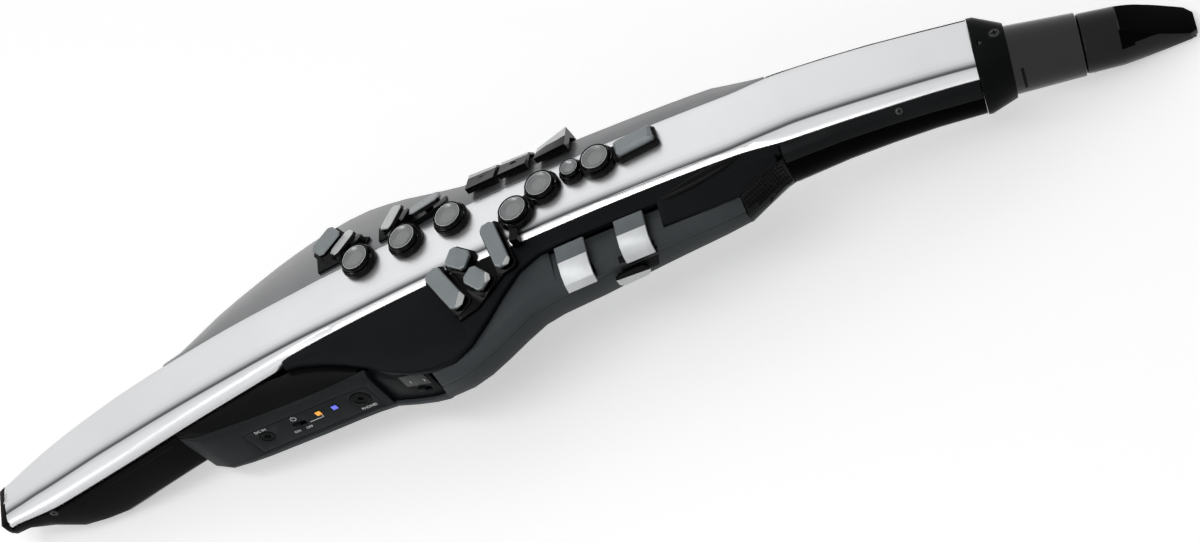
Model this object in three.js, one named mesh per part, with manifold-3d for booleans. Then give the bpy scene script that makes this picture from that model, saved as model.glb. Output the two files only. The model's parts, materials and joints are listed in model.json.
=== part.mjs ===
// A digital wind controller: a long arched body with a silver front, pearl keys, plate keys on
// both sides, a blowing end at +X and a battery tail at -X. It lies on its back, keys up.
// Shells are drawn in a straight frame (x along the body from the tail end of the front panel,
// y across with the connector side negative, depth down from the front) and then bent to the arch.
import * as THREE from 'three';
import { mergeVertices } from 'three/addons/utils/BufferGeometryUtils.js';
import Module from 'manifold-3d';

const wasm = await Module();
wasm.setup();

// Driving dimensions, in millimetres
const bodyLength = 578;
const bodyDepth = 50;
const bodyBend = 1180;
const neckBend = 2520;
const restDrop = 76;
const panelHalfWidth = 21;
const wingReach = 67;
const farReach = 67.5;
const neckHalfWidth = 26;
const seam = 0.3;
const panelWall = 1.6;
const shellWall = 2.2;
const sectionPitch = 24;
const roundSides = 24;
const holeSides = 12;
const stemSides = 8;
const overrun = 6;
const finePitch = sectionPitch / 2;

// The front panel's edges
const panelEdgeDepth = 4.2;
const panelRound = 1.2;
const lipDrop = 2.6;
const creaseDepth = 0.9;
const creaseWidth = 1.2;
const curlWidth = 1.8;
const curlDepth = 4.1;

// Deck, pod, wing and covers
const ledgeDepth = 3;
const deckSlope = 0.27;
const deckThickness = 2.4;
const deckEdge = 0.8;
const deckSkirt = deckThickness + deckEdge;
const podDepth = 10;
const blockBevel = 2.6;
const shoulderRound = 5.5;
const shoulderSlope = 0.3;
const neckTrimDepth = 12;
const endWall = 4;
const farLedgeDepth = 2;
const tailStep = 0.6;
const blockCap = 6;

// Round keys
const keyRadius = 8.35;
const smallKeyRadius = 5.4;
const pearlShare = 0.84;
const keyRise = 6.6;
const keyThickness = 3.2;
const stemRadius = 2.4;
const stemReach = 5;
const stemClearance = 0.4;
const keyClearance = 0.3;
const baseRim = 1.4;
const baseHeight = 3.6;

// Plate keys
const plateThickness = 2.6;
const plateCorner = 2;
const plateBevel = 0.5;
const plateTravel = 2;

// Blowing end
const collarLength = 17;
const collarRim = 3;
const collarProud = 2.4;
const collarWall = 1.6;
const tubeRadius = 17.8;
const tubeEndRadius = 16.4;
const tubeWall = 2.2;
const tubeLength = 53.4;
const sleeveRadius = 12.6;
const sleeveLength = 10;
const neckAxisDepth = 15.5;
const neckExtraDroop = 0.039;
const mouthpieceLength = 58.6;
const mouthpieceWall = 2.9;
const beakLength = 44;
const tipHalfWidth = 8.6;
const reedThickness = 1.1;
const reedHalfWidth = 7;

// Curves along the body: pairs of the share of its length and the share of a driving size
const tailCrownShare = 0.577;
const crownShare = 0.607;
const neckStartShare = 0.789;
const panelWidthShares = [
  [-0.0112, 0.62], [0.015, 0.73], [0.05, 0.86], [0.09, 0.94], [0.15, 1], [0.25, 0.98], [0.36, 0.9], [0.6, 0.92], [0.7, 0.93], [0.78, 0.95],
  [0.83, 1.06], [0.9, 1.03], [1, 0.95],
];
const creaseShares = [
  [-0.0112, 0.34], [0.03, 0.44], [0.114, 0.52], [0.25, 0.41], [0.42, 0.2], [0.6, 0.18], [0.7, 0.14], [0.77, 0.16], [0.84, 0.42],
  [1, 0.36],
];
const curlEndShare = 0.308;
const curlOffShare = 0.32;
const curlShares = [[0, 0.3], [0.05, 1], [curlEndShare, 1], [curlOffShare, 0], [1, 0]];
const deckSideShares = [
  [0.317, 0.36], [0.33, 0.385], [0.37, 0.537], [0.393, 0.657], [0.408, 0.754], [0.431, 0.866], [0.45, 0.925],
  [0.469, 0.948], [0.481, 0.94], [0.495, 0.896], [0.516, 0.776], [0.535, 0.642], [0.562, 0.478],
  [0.587, 0.418], [0.763, 0.418], [0.82, 0.396],
];
const trimSideShares = [[0.7, 0.6], [0.765, 0.6], [0.79, 0.52], [0.813, 0.43]];
const nearSideShares = [
  [0.187, 0.36], [0.2, 0.463], [0.301, 0.627], [0.393, 0.746], [0.4256, 0.88], [0.457, 0.97], [0.4775, 1],
  [0.495, 0.985], [0.5225, 0.91], [0.5675, 0.776], [0.6176, 0.731], [0.647, 0.709], [0.699, 0.687],
  [0.768, 0.649], [0.792, 0.552], [0.8166, 0.433], [0.83, 0.403],
];
const podSideShares = [[0.187, 0.345], [0.2, 0.418], [0.393, 0.687]];
const partDepthShares = [
  [0.187, 0.77], [0.25, 0.785], [0.301, 0.785], [0.393, 0.78], [0.4503, 0.735], [0.4533, 0.57],
  [0.5225, 0.46], [0.5675, 0.4], [0.772, 0.4], [0.7725, 0.5], [0.8166, 0.5],
];
const lowDepthShares = [
  [0.187, 0.83], [0.25, 0.875], [0.301, 0.89], [0.393, 0.875], [0.457, 0.83], [0.4775, 0.79], [0.5225, 0.73], [0.57, 0.67],
  [0.63, 0.71], [0.69, 0.67], [0.765, 0.61], [0.8166, 0.54],
];
const backDepthShares = [
  [-0.0112, 0.25], [0.02, 0.45], [0.054, 0.82], [0.066, 0.865], [0.088, 0.865], [0.114, 0.84],
  [0.183, 0.83], [0.2526, 0.88], [0.356, 0.98], [0.42, 1], [0.53, 1],
  [0.6, 0.96], [0.7, 0.92], [0.803, 0.84], [0.893, 0.76], [1, 0.7],
];
const farSideShares = [
  [0.187, 0.405], [0.205, 0.43], [0.239, 0.62], [0.285, 0.785], [0.334, 0.926], [0.379, 0.993], [0.401, 1],
  [0.445, 0.92], [0.486, 0.78], [0.526, 0.665], [0.6, 0.625], [0.668, 0.6], [0.765, 0.57], [0.801, 0.474],
  [0.82, 0.407],
];
const neckSideShares = [[0.8166, 1.1], [0.86, 1.03], [1, 0.955]];
const farPartShares = [[0.187, 0.5], [0.3, 0.54], [0.7, 0.5], [0.8166, 0.42]];
const farLowShares = [[0.187, 0.7], [0.3, 0.74], [0.5, 0.74], [0.765, 0.66], [0.8166, 0.56]];
const landShare = 0.55;
const tailLandShare = 0.6;
const tailLowShare = 0.85;
const neckLowShare = 0.68;

// Where the pieces end along the body
const tailTipShare = -0.0112;
const tailEndShare = 0.187;
const deckStartShare = 0.317;
const blockEndShare = 0.393;
const stepShare = 0.4503;
const wingStartShare = 0.4533;
const wingEndShare = 0.772;
const neckJointShare = 0.8185;

const along = (share) => share * bodyLength;
const black = 0x0b0c0d;
const darkGray = 0x3c4143;
const plateGray = 0x7c8486;
const silver = 0xd9dadb;

// The value of a smooth curve through pairs of place and value
function follow(pairs, place) {
  const last = pairs.length - 1;
  if (place <= pairs[0][0]) return pairs[0][1];
  if (place >= pairs[last][0]) return pairs[last][1];
  const rise = (i) => (pairs[i + 1][1] - pairs[i][1]) / (pairs[i + 1][0] - pairs[i][0]);
  const tilt = (i) => {
    if (i === 0 || i === last) return 0;
    const before = rise(i - 1);
    const after = rise(i);
    return before * after <= 0 ? 0 : 2 * before * after / (before + after);
  };
  const i = pairs.findIndex((pair) => pair[0] > place) - 1;
  const span = pairs[i + 1][0] - pairs[i][0];
  const t = (place - pairs[i][0]) / span;
  const square = t * t;
  const cube = square * t;
  return (2 * cube - 3 * square + 1) * pairs[i][1] + (cube - 2 * square + t) * span * tilt(i)
    + (3 * square - 2 * cube) * pairs[i + 1][1] + (cube - square) * span * tilt(i + 1);
}

// The arch of the front, level along its crown and falling to both ends
const fromCrown = (x) => Math.min(0, x - along(tailCrownShare)) + Math.max(0, x - along(crownShare));
const pastNeck = (x) => Math.max(0, x - along(neckStartShare));

function spineHeight(x) {
  return -(fromCrown(x) ** 2) / (2 * bodyBend) - pastNeck(x) ** 2 / (2 * neckBend);
}

function spineSlope(x) {
  return Math.atan(-fromCrown(x) / bodyBend - pastNeck(x) / neckBend);
}

function spinePoint(x, y, depth) {
  const slope = spineSlope(x);
  return new THREE.Vector3(x + depth * Math.sin(slope), y, spineHeight(x) - depth * Math.cos(slope));
}

// The place and turn of a rigid piece on the body: z out of the front, x towards the mouthpiece
function seat(x, y, depth, turn = {}) {
  const spot = new THREE.Matrix4().makeTranslation(spinePoint(x, y, depth));
  const tangent = new THREE.Matrix4().makeRotationY(-spineSlope(x));
  const yaw = new THREE.Matrix4().makeRotationZ(turn.yaw ?? 0);
  const roll = new THREE.Matrix4().makeRotationX(turn.roll ?? 0);
  const pitch = new THREE.Matrix4().makeRotationY(turn.pitch ?? 0);
  return spot.multiply(tangent).multiply(yaw).multiply(roll).multiply(pitch);
}

const panelHalf = (x) => panelHalfWidth * follow(panelWidthShares, x / bodyLength);
const curl = (x) => follow(curlShares, x / bodyLength);
const nearPanelEdge = (x) => panelHalf(x) + curlWidth * curl(x);
const nearLedge = (x) => ledgeDepth + curlDepth * curl(x);
const deckSide = (x) => wingReach * follow(deckSideShares, x / bodyLength);
const deckDepth = (side, x) => ledgeDepth + deckSlope * (side - panelHalf(x));
const trimSide = (x) => wingReach * follow(trimSideShares, x / bodyLength);
const nearSide = (x) => wingReach * follow(nearSideShares, x / bodyLength);
const podSide = (x) => wingReach * follow(podSideShares, x / bodyLength);
const partDepth = (x) => bodyDepth * follow(partDepthShares, x / bodyLength);
const lowDepth = (x) => bodyDepth * follow(lowDepthShares, x / bodyLength);
const farSide = (x) => farReach * follow(farSideShares, x / bodyLength);
const tailNear = (x) => nearPanelEdge(x) + tailStep;
const tailFar = (x) => panelHalf(x) + tailStep;
const farPartDepth = (x) => bodyDepth * follow(farPartShares, x / bodyLength);
const farLowDepth = (x) => bodyDepth * follow(farLowShares, x / bodyLength);
const neckSide = (x) => neckHalfWidth * follow(neckSideShares, x / bodyLength);

// The back is cut flat where it would pass below the surface that the body lies on
function backDepth(x) {
  const full = bodyDepth * follow(backDepthShares, x / bodyLength);
  return Math.min(full, (spineHeight(x) + restDrop) / Math.cos(spineSlope(x)));
}

// Stations on one grid along the body, so that neighbours meet, with the two ends
function placesBetween(from, to, pitch = sectionPitch) {
  const first = Math.ceil((from + pitch / 4) / pitch);
  const last = Math.floor((to - pitch / 4) / pitch);
  const between = Array.from({ length: Math.max(0, last - first + 1) }, (_, i) => (first + i) * pitch);
  return [from, ...between, to];
}

function facingOut(points, faces) {
  let volume = 0;
  for (const [a, b, c] of faces) {
    volume += points[a].dot(new THREE.Vector3().crossVectors(points[b], points[c]));
  }
  return volume < 0 ? faces.map(([a, b, c]) => [a, c, b]) : faces;
}

function solidFrom(points, faces) {
  const geometry = new THREE.BufferGeometry();
  geometry.setAttribute('position', new THREE.Float32BufferAttribute(points.flatMap((p) => p.toArray()), 3));
  geometry.setIndex(facingOut(points, faces).flat());
  return geometry;
}

// A closed solid through rings of points, with flat ends
function skin(rings, flatEnd) {
  const count = rings[0].length;
  const faces = [];
  for (let r = 0; r + 1 < rings.length; r += 1) {
    for (let i = 0; i < count; i += 1) {
      const next = (i + 1) % count;
      const a = r * count + i;
      const b = r * count + next;
      faces.push([a, b, b + count], [a, b + count, a + count]);
    }
  }
  const shift = (rings.length - 1) * count;
  const turnedOver = THREE.ShapeUtils.isClockWise(flatEnd);
  for (const [a, b, c] of THREE.ShapeUtils.triangulateShape(flatEnd, [])) {
    const [p, q] = turnedOver ? [c, b] : [b, c];
    faces.push([a, q, p], [a + shift, p + shift, q + shift]);
  }
  return solidFrom(rings.flat(), faces);
}

// A shell whose section, a closed list of [y, depth] pairs, changes along the body
function loft(places, sectionAt) {
  const rings = places.map((x) => sectionAt(x).map(([y, depth]) => spinePoint(x, y, depth)));
  const flatEnd = sectionAt(places[0]).map(([y, depth]) => new THREE.Vector2(y, depth));
  return skin(rings, flatEnd);
}

// An open line of [y, depth] pairs moved sideways by a distance
function shifted(line, distance) {
  return line.map(([y, depth], i) => {
    const before = line[Math.max(0, i - 1)];
    const after = line[Math.min(line.length - 1, i + 1)];
    const here = new THREE.Vector2(y, depth);
    const into = new THREE.Vector2(y - before[0], depth - before[1]).normalize();
    const out = new THREE.Vector2(after[0] - y, after[1] - depth).normalize();
    if (i === 0) into.copy(out);
    if (i === line.length - 1) out.copy(into);
    const side = new THREE.Vector2(into.y + out.y, -into.x - out.x).normalize();
    const reach = distance / Math.max(0.5, side.x * into.y - side.y * into.x);
    return here.addScaledVector(side, reach).toArray();
  });
}

// A closed section from an open line and the same line moved sideways by a wall
function walled(line, wall) {
  return [...line, ...shifted(line, wall).reverse()];
}

function rounded(before, corner, after, radius, steps = 2) {
  const [a, b, c] = [before, corner, after].map(([y, depth]) => new THREE.Vector2(y, depth));
  const reachIn = Math.min(radius, a.distanceTo(b) * 0.45);
  const reachOut = Math.min(radius, b.distanceTo(c) * 0.45);
  const start = b.clone().lerp(a, reachIn / a.distanceTo(b));
  const end = b.clone().lerp(c, reachOut / b.distanceTo(c));
  const arc = new THREE.QuadraticBezierCurve(start, b, end);
  return arc.getPoints(steps).map((p) => p.toArray());
}

function toManifold(geometry) {
  const bare = geometry.clone();
  bare.deleteAttribute('normal');
  bare.deleteAttribute('uv');
  const merged = mergeVertices(bare, 1e-4);
  return new wasm.Manifold(new wasm.Mesh({
    numProp: 3,
    vertProperties: new Float32Array(merged.attributes.position.array),
    triVerts: new Uint32Array(merged.index.array),
  }));
}

function fromManifold(solid) {
  const mesh = solid.getMesh();
  const geometry = new THREE.BufferGeometry();
  geometry.setAttribute('position', new THREE.Float32BufferAttribute(mesh.vertProperties, 3));
  geometry.setIndex(Array.from(mesh.triVerts));
  return geometry;
}

function cut(geometry, tools) {
  return fromManifold(tools.reduce((solid, tool) => solid.subtract(toManifold(tool)), toManifold(geometry)));
}

function join(geometry, pieces) {
  return fromManifold(pieces.reduce((solid, piece) => solid.add(toManifold(piece)), toManifold(geometry)));
}

const part = new THREE.Group();
const body = new THREE.Group();
part.add(body);

function add(name, geometry, color, finish = {}) {
  const material = new THREE.MeshStandardMaterial({ color, roughness: 0.5, metalness: 0, ...finish });
  const mesh = new THREE.Mesh(geometry, material);
  mesh.name = name;
  body.add(mesh);
  return mesh;
}

// A rigid piece stands in its own frame, set on the body by a matrix
function stand(name, geometry, matrix, color, finish = {}) {
  const mesh = add(name, geometry, color, finish);
  matrix.decompose(mesh.position, mesh.quaternion, mesh.scale);
  return mesh;
}

const gloss = { roughness: 0.15 };
const metal = { roughness: 0.3, metalness: 0.9 };

// Round key places: share of the length, distance across, cap radius
const roundKeys = [
  { name: 'round_key_1', share: 0.4135, y: 14, radius: keyRadius },
  { name: 'round_key_2', share: 0.463, y: 12, radius: keyRadius },
  { name: 'round_key_3', share: 0.5105, y: 12, radius: keyRadius },
  { name: 'round_key_4', share: 0.573, y: -3.5, radius: keyRadius },
  { name: 'round_key_5', share: 0.6015, y: 5.5, radius: keyRadius },
  { name: 'round_key_6', share: 0.657, y: 7, radius: keyRadius },
  { name: 'round_key_7', share: 0.632, y: 7.5, radius: smallKeyRadius },
];
const frontPlate = { share: 0.6945, y: 8, yaw: 0.12, length: 21, width: 9.5 };

function disc(radius, from, to, sides = holeSides) {
  const geometry = new THREE.CylinderGeometry(radius, radius, to - from, sides);
  geometry.rotateX(Math.PI / 2);
  geometry.translate(0, 0, (from + to) / 2);
  return geometry;
}

function stemHole(key) {
  const hole = disc(stemRadius + stemClearance, -overrun, overrun);
  return hole.applyMatrix4(seat(along(key.share), key.y, 0));
}

function turned(profile, sides = roundSides) {
  const geometry = new THREE.LatheGeometry(profile.map(([r, z]) => new THREE.Vector2(r, z)), sides);
  geometry.rotateX(Math.PI / 2);
  return geometry;
}

// A block with cut corners whose top edge slopes in, its middle on the z axis
function octagon(length, width, corner, z) {
  const a = length / 2;
  const b = width / 2;
  const points = [
    [a - corner, -b], [a, -b + corner], [a, b - corner], [a - corner, b],
    [-a + corner, b], [-a, b - corner], [-a, -b + corner], [-a + corner, -b],
  ];
  return points.map(([x, y]) => new THREE.Vector3(x, y, z));
}

function octagonBlock(size, corner, bottom, top, slope) {
  const rings = [
    octagon(size.length, size.width, corner, bottom),
    octagon(size.length, size.width, corner, top - slope),
    octagon(size.length - 2 * slope, size.width - 2 * slope, corner, top),
  ];
  return skin(rings, rings[0].map((p) => new THREE.Vector2(p.x, p.y)));
}

function outlined(points, height, holes = []) {
  const shape = new THREE.Shape(points.map(([x, y]) => new THREE.Vector2(x, y)));
  for (const hole of holes) {
    const ring = new THREE.Path();
    ring.absarc(hole.x, hole.y, hole.r, 0, Math.PI * 2, true);
    shape.holes.push(ring);
  }
  return new THREE.ExtrudeGeometry(shape, { depth: height, bevelEnabled: false });
}

// Plate keys by the place of their middle: share of the length, y, depth, turns in the front's
// plane and across it, and their size
const degree = Math.PI / 180;
const pinkyRoll = Math.atan(deckSlope);
const pinkyKeys = [
  { name: 'pinky_key_1', share: 0.4939, y: -30.7, depth: -2, yaw: -66, length: 27, width: 9.8 },
  { name: 'pinky_key_2', share: 0.513, y: -18.5, depth: -5.3, yaw: -38, length: 12.4, width: 11 },
  { name: 'pinky_key_3', share: 0.5251, y: -33, depth: -1.4, yaw: -50, length: 13.4, width: 10.4 },
  { name: 'pinky_key_4', share: 0.5497, y: -20, depth: -4.9, yaw: -82, length: 26.5, width: 8.6 },
];
const farLowerKeys = [
  { name: 'far_lower_key_1', share: 0.3825, y: 38.7, depth: -2.5, yaw: 34, roll: 0, length: 16.6, width: 11 },
  { name: 'far_lower_key_2', share: 0.4011, y: 30, depth: -4.2, yaw: 34.7, roll: -34, length: 16, width: 12.8 },
  { name: 'far_lower_key_3', share: 0.4541, y: 29.3, depth: -4.6, yaw: 47.7, roll: -34, length: 15, width: 12.8 },
  { name: 'far_lower_key_4', share: 0.4871, y: 29.8, depth: -3.4, yaw: 9.5, roll: -34, length: 18, width: 12.8 },
];

function plateKey(key) {
  const plate = octagonBlock(key, plateCorner, -plateThickness, 0, plateBevel);
  plate.applyMatrix4(new THREE.Matrix4().makeRotationX((key.roll ?? 0) * degree));
  const stem = disc(stemRadius, -plateThickness - plateTravel - stemReach, -plateThickness / 2);
  return join(plate, [stem]);
}

function plateSeat(key) {
  return seat(along(key.share), key.y, key.depth, { yaw: key.yaw * degree });
}

function plateHole(matrix) {
  return disc(stemRadius + keyClearance, -4 * overrun, overrun).applyMatrix4(matrix);
}

const pinkySeats = pinkyKeys.map((key) => {
  const spot = seat(along(key.share), key.y, key.depth, { roll: pinkyRoll });
  return spot.multiply(new THREE.Matrix4().makeRotationZ(key.yaw * degree));
});
const farLowerSeats = farLowerKeys.map((key) => plateSeat(key));

// Far wedge keys by the share of the length at each end
const farUpperKeys = [
  { name: 'far_upper_key_1', from: 0.5294, to: 0.5580, flare: 0 },
  { name: 'far_upper_key_2', from: 0.5625, to: 0.5900, flare: 0 },
  { name: 'far_upper_key_3', from: 0.5990, to: 0.6308, flare: 1 },
];
const wedgeStemY = 31;
const wedgeTravel = 1.5;
const wedgeSeats = farUpperKeys.map((key) => seat(along((key.from + key.to) / 2), wedgeStemY, 0));

// Keys on the back under the thumb, by the share of the length
const octaveKeys = [
  { name: 'octave_key_down', share: 0.655 },
  { name: 'octave_key_up', share: 0.715 },
];

// Front panel
function panelSection(x) {
  const w = panelHalf(x);
  const crease = w - panelHalfWidth * follow(creaseShares, x / bodyLength);
  const bend = curl(x);
  const lip = w + curlWidth * bend;
  const outer = [
    [w, panelEdgeDepth],
    [w, lipDrop - panelRound],
    [w - panelRound, panelRound / 2],
    [w / 2, 0],
    [0, 0],
    [-crease + creaseWidth, creaseDepth / 3],
    [-crease, creaseDepth],
    [-crease - creaseWidth, creaseDepth / 2],
    [-w + panelRound, lipDrop - panelRound / 2],
    [-(w + lip) / 2, lipDrop + curlDepth * bend / 3],
    [-lip, lipDrop + panelRound + curlDepth * bend / 2],
    [-lip, panelEdgeDepth + curlDepth * bend],
  ];
  const inner = [
    [-lip + panelWall, panelEdgeDepth + curlDepth * bend],
    [-w + 2 * panelWall, panelEdgeDepth],
    [-w / 2, panelWall + creaseDepth],
    [w / 2, panelWall],
    [w - 2 * panelWall, panelWall + panelRound],
    [w - panelWall, panelEdgeDepth],
  ];
  return [...outer, ...inner];
}

const panelPlaces = [
  ...placesBetween(along(tailTipShare), along(tailEndShare), finePitch),
  ...placesBetween(along(tailEndShare), along(curlEndShare)).slice(1),
  ...placesBetween(along(curlOffShare), bodyLength),
];

// Posts under the panel carry the main board
const boardStartShare = 0.36;
const boardEndShare = 0.765;
const boardDepth = 19;
const boardHalfWidth = 15;
const boardThickness = 1.6;
const postRadius = 2.5;
const postShares = [0.4375, 0.487, 0.545, 0.7455];
const boardTop = spineHeight(along(crownShare)) - boardDepth;

function panelPost(share) {
  const top = spineHeight(along(share)) - panelWall / 2;
  const post = disc(postRadius, boardTop + seam, top);
  return post.translate(along(share), 0, 0);
}

add('front_panel', join(
  cut(loft(panelPlaces, panelSection), [
    ...[...roundKeys, frontPlate].map(stemHole),
    ...pinkySeats.map(plateHole),
  ]),
  postShares.map(panelPost),
), silver, metal);

const boardLength = along(boardEndShare - boardStartShare);
const boardMiddle = along((boardEndShare + boardStartShare) / 2);
const board = new THREE.BoxGeometry(boardLength, 2 * boardHalfWidth, boardThickness);
board.translate(boardMiddle, 0, boardTop - boardThickness / 2);
add('main_board', board, 0x1f5a3a);

// Near deck with its side trim
const trimStartShare = 0.7;
const trimEndShare = 0.813;

function deckSection(x) {
  const inner = nearPanelEdge(x) + seam;
  const side = deckSide(x);
  const low = deckDepth(side, x);
  const middle = (inner + side) / 2;
  return [
    [-inner, ledgeDepth],
    [-middle, deckDepth(middle, x)],
    [-side + deckEdge, low - deckEdge / 4],
    [-side, low + deckEdge],
    [-side, low + deckSkirt],
    [-middle, deckDepth(middle, x) + deckThickness],
    [-inner, ledgeDepth + deckThickness],
  ];
}

function trimSection(x) {
  const inner = deckSide(x) - shellWall;
  const side = trimSide(x);
  const low = deckDepth(side, x);
  return [
    [-inner, deckDepth(inner, x) + deckEdge / 4],
    [-side + deckEdge, low],
    [-side, low + deckEdge],
    [-side, low + deckSkirt],
    [-inner, deckDepth(inner, x) + deckThickness],
  ];
}

const deckPlaces = placesBetween(along(deckStartShare), along(neckJointShare) - seam, finePitch);
add('near_deck', cut(join(loft(deckPlaces, deckSection), [
  loft(placesBetween(along(trimStartShare), along(trimEndShare), finePitch), trimSection),
]), pinkySeats.map(plateHole)), black);

// Near pod, under the deck's skirt and down to the connector block
function podSection(x) {
  const underDeck = x > along(deckStartShare) - sectionPitch / 4;
  const inner = underDeck ? Math.max(nearPanelEdge(x), deckSide(x)) + seam : nearPanelEdge(x) + seam;
  const side = podSide(x);
  const innerDepth = underDeck ? deckDepth(inner, x) + deckSkirt : nearLedge(x);
  return [
    [-inner, innerDepth],
    [-(inner + side) / 2, (innerDepth + podDepth) / 2],
    [-side, podDepth],
    [-side, podDepth + shellWall],
    [-(inner + side) / 2, (innerDepth + podDepth) / 2 + shellWall],
    [-inner, innerDepth + shellWall],
  ];
}

const podEndShare = 0.385;
add('near_pod', loft([
  ...placesBetween(along(tailEndShare) + seam, along(curlEndShare), finePitch),
  ...placesBetween(along(deckStartShare), along(podEndShare), finePitch),
], podSection), black, gloss);

// Connector block and its plate
function blockSection(x) {
  const top = podSide(x) + seam;
  const side = nearSide(x);
  const low = partDepth(x);
  return [
    [-top, podDepth],
    [-side + blockBevel / 4, podDepth + blockBevel],
    [-side, podDepth + 2 * blockBevel],
    [-side, low],
    [-side + shellWall, low],
    [-side + shellWall, podDepth + 2 * blockBevel],
    [-side + shellWall + blockBevel / 4, podDepth + blockBevel + shellWall],
    [-top, podDepth + shellWall],
  ];
}

function blockCapSection(x) {
  const outer = blockSection(x).slice(0, 4);
  return [...outer, [-nearSide(x) + blockCap, partDepth(x)], [-nearSide(x) + blockCap, podDepth + 2 * blockBevel]];
}

const plateTopDepth = 19;
const plateStartShare = 0.2475;
const plateEndShare = 0.384;
const plateBottomGap = 2;

function plateSection(x, grow, inset, thickness) {
  const side = nearSide(x) - inset;
  return [
    [-side, plateTopDepth - grow],
    [-side, partDepth(x) - plateBottomGap + grow],
    [-side + thickness, partDepth(x) - plateBottomGap + grow],
    [-side + thickness, plateTopDepth - grow],
  ];
}

function connectorPlate(grow, inset, thickness) {
  const places = placesBetween(along(plateStartShare) - grow, along(plateEndShare) + grow, finePitch);
  return loft(places, (x) => plateSection(x, grow, inset, thickness));
}

// A frame on the near side: x along the wall, z out of it
function sideFrame(share, depth, inset = 0) {
  const x = along(share);
  const lean = Math.atan2(nearSide(x + sectionPitch) - nearSide(x - sectionPitch), 2 * sectionPitch);
  const follows = new THREE.Matrix4().makeRotationZ(-lean);
  const outward = new THREE.Matrix4().makeRotationX(Math.PI / 2);
  return seat(x, -nearSide(x) + inset, depth).multiply(follows).multiply(outward);
}

const socketsShare = 0.316;
const socketsDepth = 27;
const phonesOffset = 31;
const phonesRadius = 5.4;
const dcOffset = -29;
const dcRadius = 4;
const plugBore = 1.8;
const plugBoreDepth = 11;
const socketInset = 0.4;
const socketBoardInset = 14;
const socketBoardHeight = 11;
const socketBoardMargin = 3;
const socketFrame = sideFrame(socketsShare, socketsDepth);
const socketHole = (offset, radius) => (
  disc(radius + seam, -overrun, overrun, roundSides).translate(offset, 0, 0).applyMatrix4(socketFrame)
);

const powerOffset = -9.5;
const sliderLength = 4.5;
const sliderWidth = 2.4;
const sliderTravel = 3;
const sliderProud = 1;
const sliderRoot = 4;

function slider(offset) {
  const knob = new THREE.BoxGeometry(sliderLength, sliderWidth, sliderRoot + sliderProud);
  return knob.translate(offset, 0, (sliderProud - sliderRoot) / 2);
}

function sliderSlot(offset) {
  const length = sliderLength + sliderTravel + 2 * seam;
  const slot = new THREE.BoxGeometry(length, sliderWidth + 2 * seam, 2 * overrun);
  return slot.translate(offset + sliderTravel / 2, 0, 0);
}

const blockPlaces = placesBetween(along(tailEndShare) + seam, along(blockEndShare), finePitch);
const blockCapPlaces = [along(blockEndShare) - shellWall, along(blockEndShare)];
add('jack_block', cut(join(loft(blockPlaces, blockSection), [loft(blockCapPlaces, blockCapSection)]), [
  connectorPlate(seam, -overrun, overrun + shellWall + seam),
]), 0x2d3132);

add('jack_plate', cut(connectorPlate(0, 0, panelWall), [
  socketHole(phonesOffset, phonesRadius),
  socketHole(dcOffset, dcRadius),
  sliderSlot(powerOffset).applyMatrix4(socketFrame),
]), 0x262a2c);

function socketBarrel(offset, radius) {
  return disc(radius, -socketBoardInset, -socketInset, roundSides).translate(offset, 0, 0);
}

const socketBoardLength = phonesOffset - dcOffset + phonesRadius + dcRadius + 2 * socketBoardMargin;
const socketBoard = new THREE.BoxGeometry(socketBoardLength, socketBoardHeight, boardThickness);
socketBoard.translate((phonesOffset + dcOffset) / 2, 0, -socketBoardInset);
stand('jack_board', cut(join(socketBoard, [
  socketBarrel(phonesOffset, phonesRadius),
  socketBarrel(dcOffset, dcRadius),
]), [
  disc(plugBore, -plugBoreDepth, overrun).translate(phonesOffset, 0, 0),
  disc(plugBore, -plugBoreDepth, overrun).translate(dcOffset, 0, 0),
]), socketFrame, 0x17191a);
stand('power_slider', slider(powerOffset), socketFrame, black);

// Niche between the connector block and the wing
const nicheInset = 2.4;
const nicheShare = 0.4345;
const nicheDepth = 30;

function nicheSection(x) {
  const top = deckSide(x) - shellWall / 2;
  const topDepth = deckDepth(deckSide(x), x) + deckSkirt + seam;
  const side = nearSide(x) - nicheInset;
  return [
    [-top, topDepth],
    [-side, topDepth + deckSkirt],
    [-side, partDepth(x)],
    [-side + shellWall, partDepth(x)],
    [-side + shellWall, topDepth + deckSkirt + shellWall],
    [-top + shellWall, topDepth],
  ];
}

const nichePlaces = placesBetween(along(blockEndShare) + seam, along(stepShare) - seam, finePitch);
const nicheFrame = sideFrame(nicheShare, nicheDepth, nicheInset);
add('control_plate', cut(loft(nichePlaces, nicheSection), [
  sliderSlot(-sliderTravel / 2).applyMatrix4(nicheFrame),
]), black);
stand('mode_slider', slider(-sliderTravel / 2), nicheFrame, darkGray);

// Palm keys
const palmKeys = [
  { name: 'palm_key_1', share: 0.6125, shift: -1.4 },
  { name: 'palm_key_2', share: 0.671, shift: 1.6 },
];
const palmLength = 16.2;
const palmRecess = 2.4;
const palmStartShare = 0.59;
const palmEndShare = 0.6985;
const palmInner = 30;
const palmStep = 9;
const palmScoop = 6;
const palmReach = 10.5;
const palmTopDepth = 5.2;
const palmWall = 1.8;
const palmDrop = 11.5;

function palmLine(shift) {
  const y = palmInner - shift / 2;
  const reach = palmReach - shift / 2;
  return [
    [-y, palmTopDepth],
    [-y - palmStep, palmTopDepth + palmWall],
    [-y - palmStep - palmScoop, palmTopDepth + 2 * palmWall],
    [-y - palmStep - reach, palmTopDepth + 4 * palmWall],
    [-y - palmStep - reach - palmWall, palmTopDepth + palmDrop],
  ];
}

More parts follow.
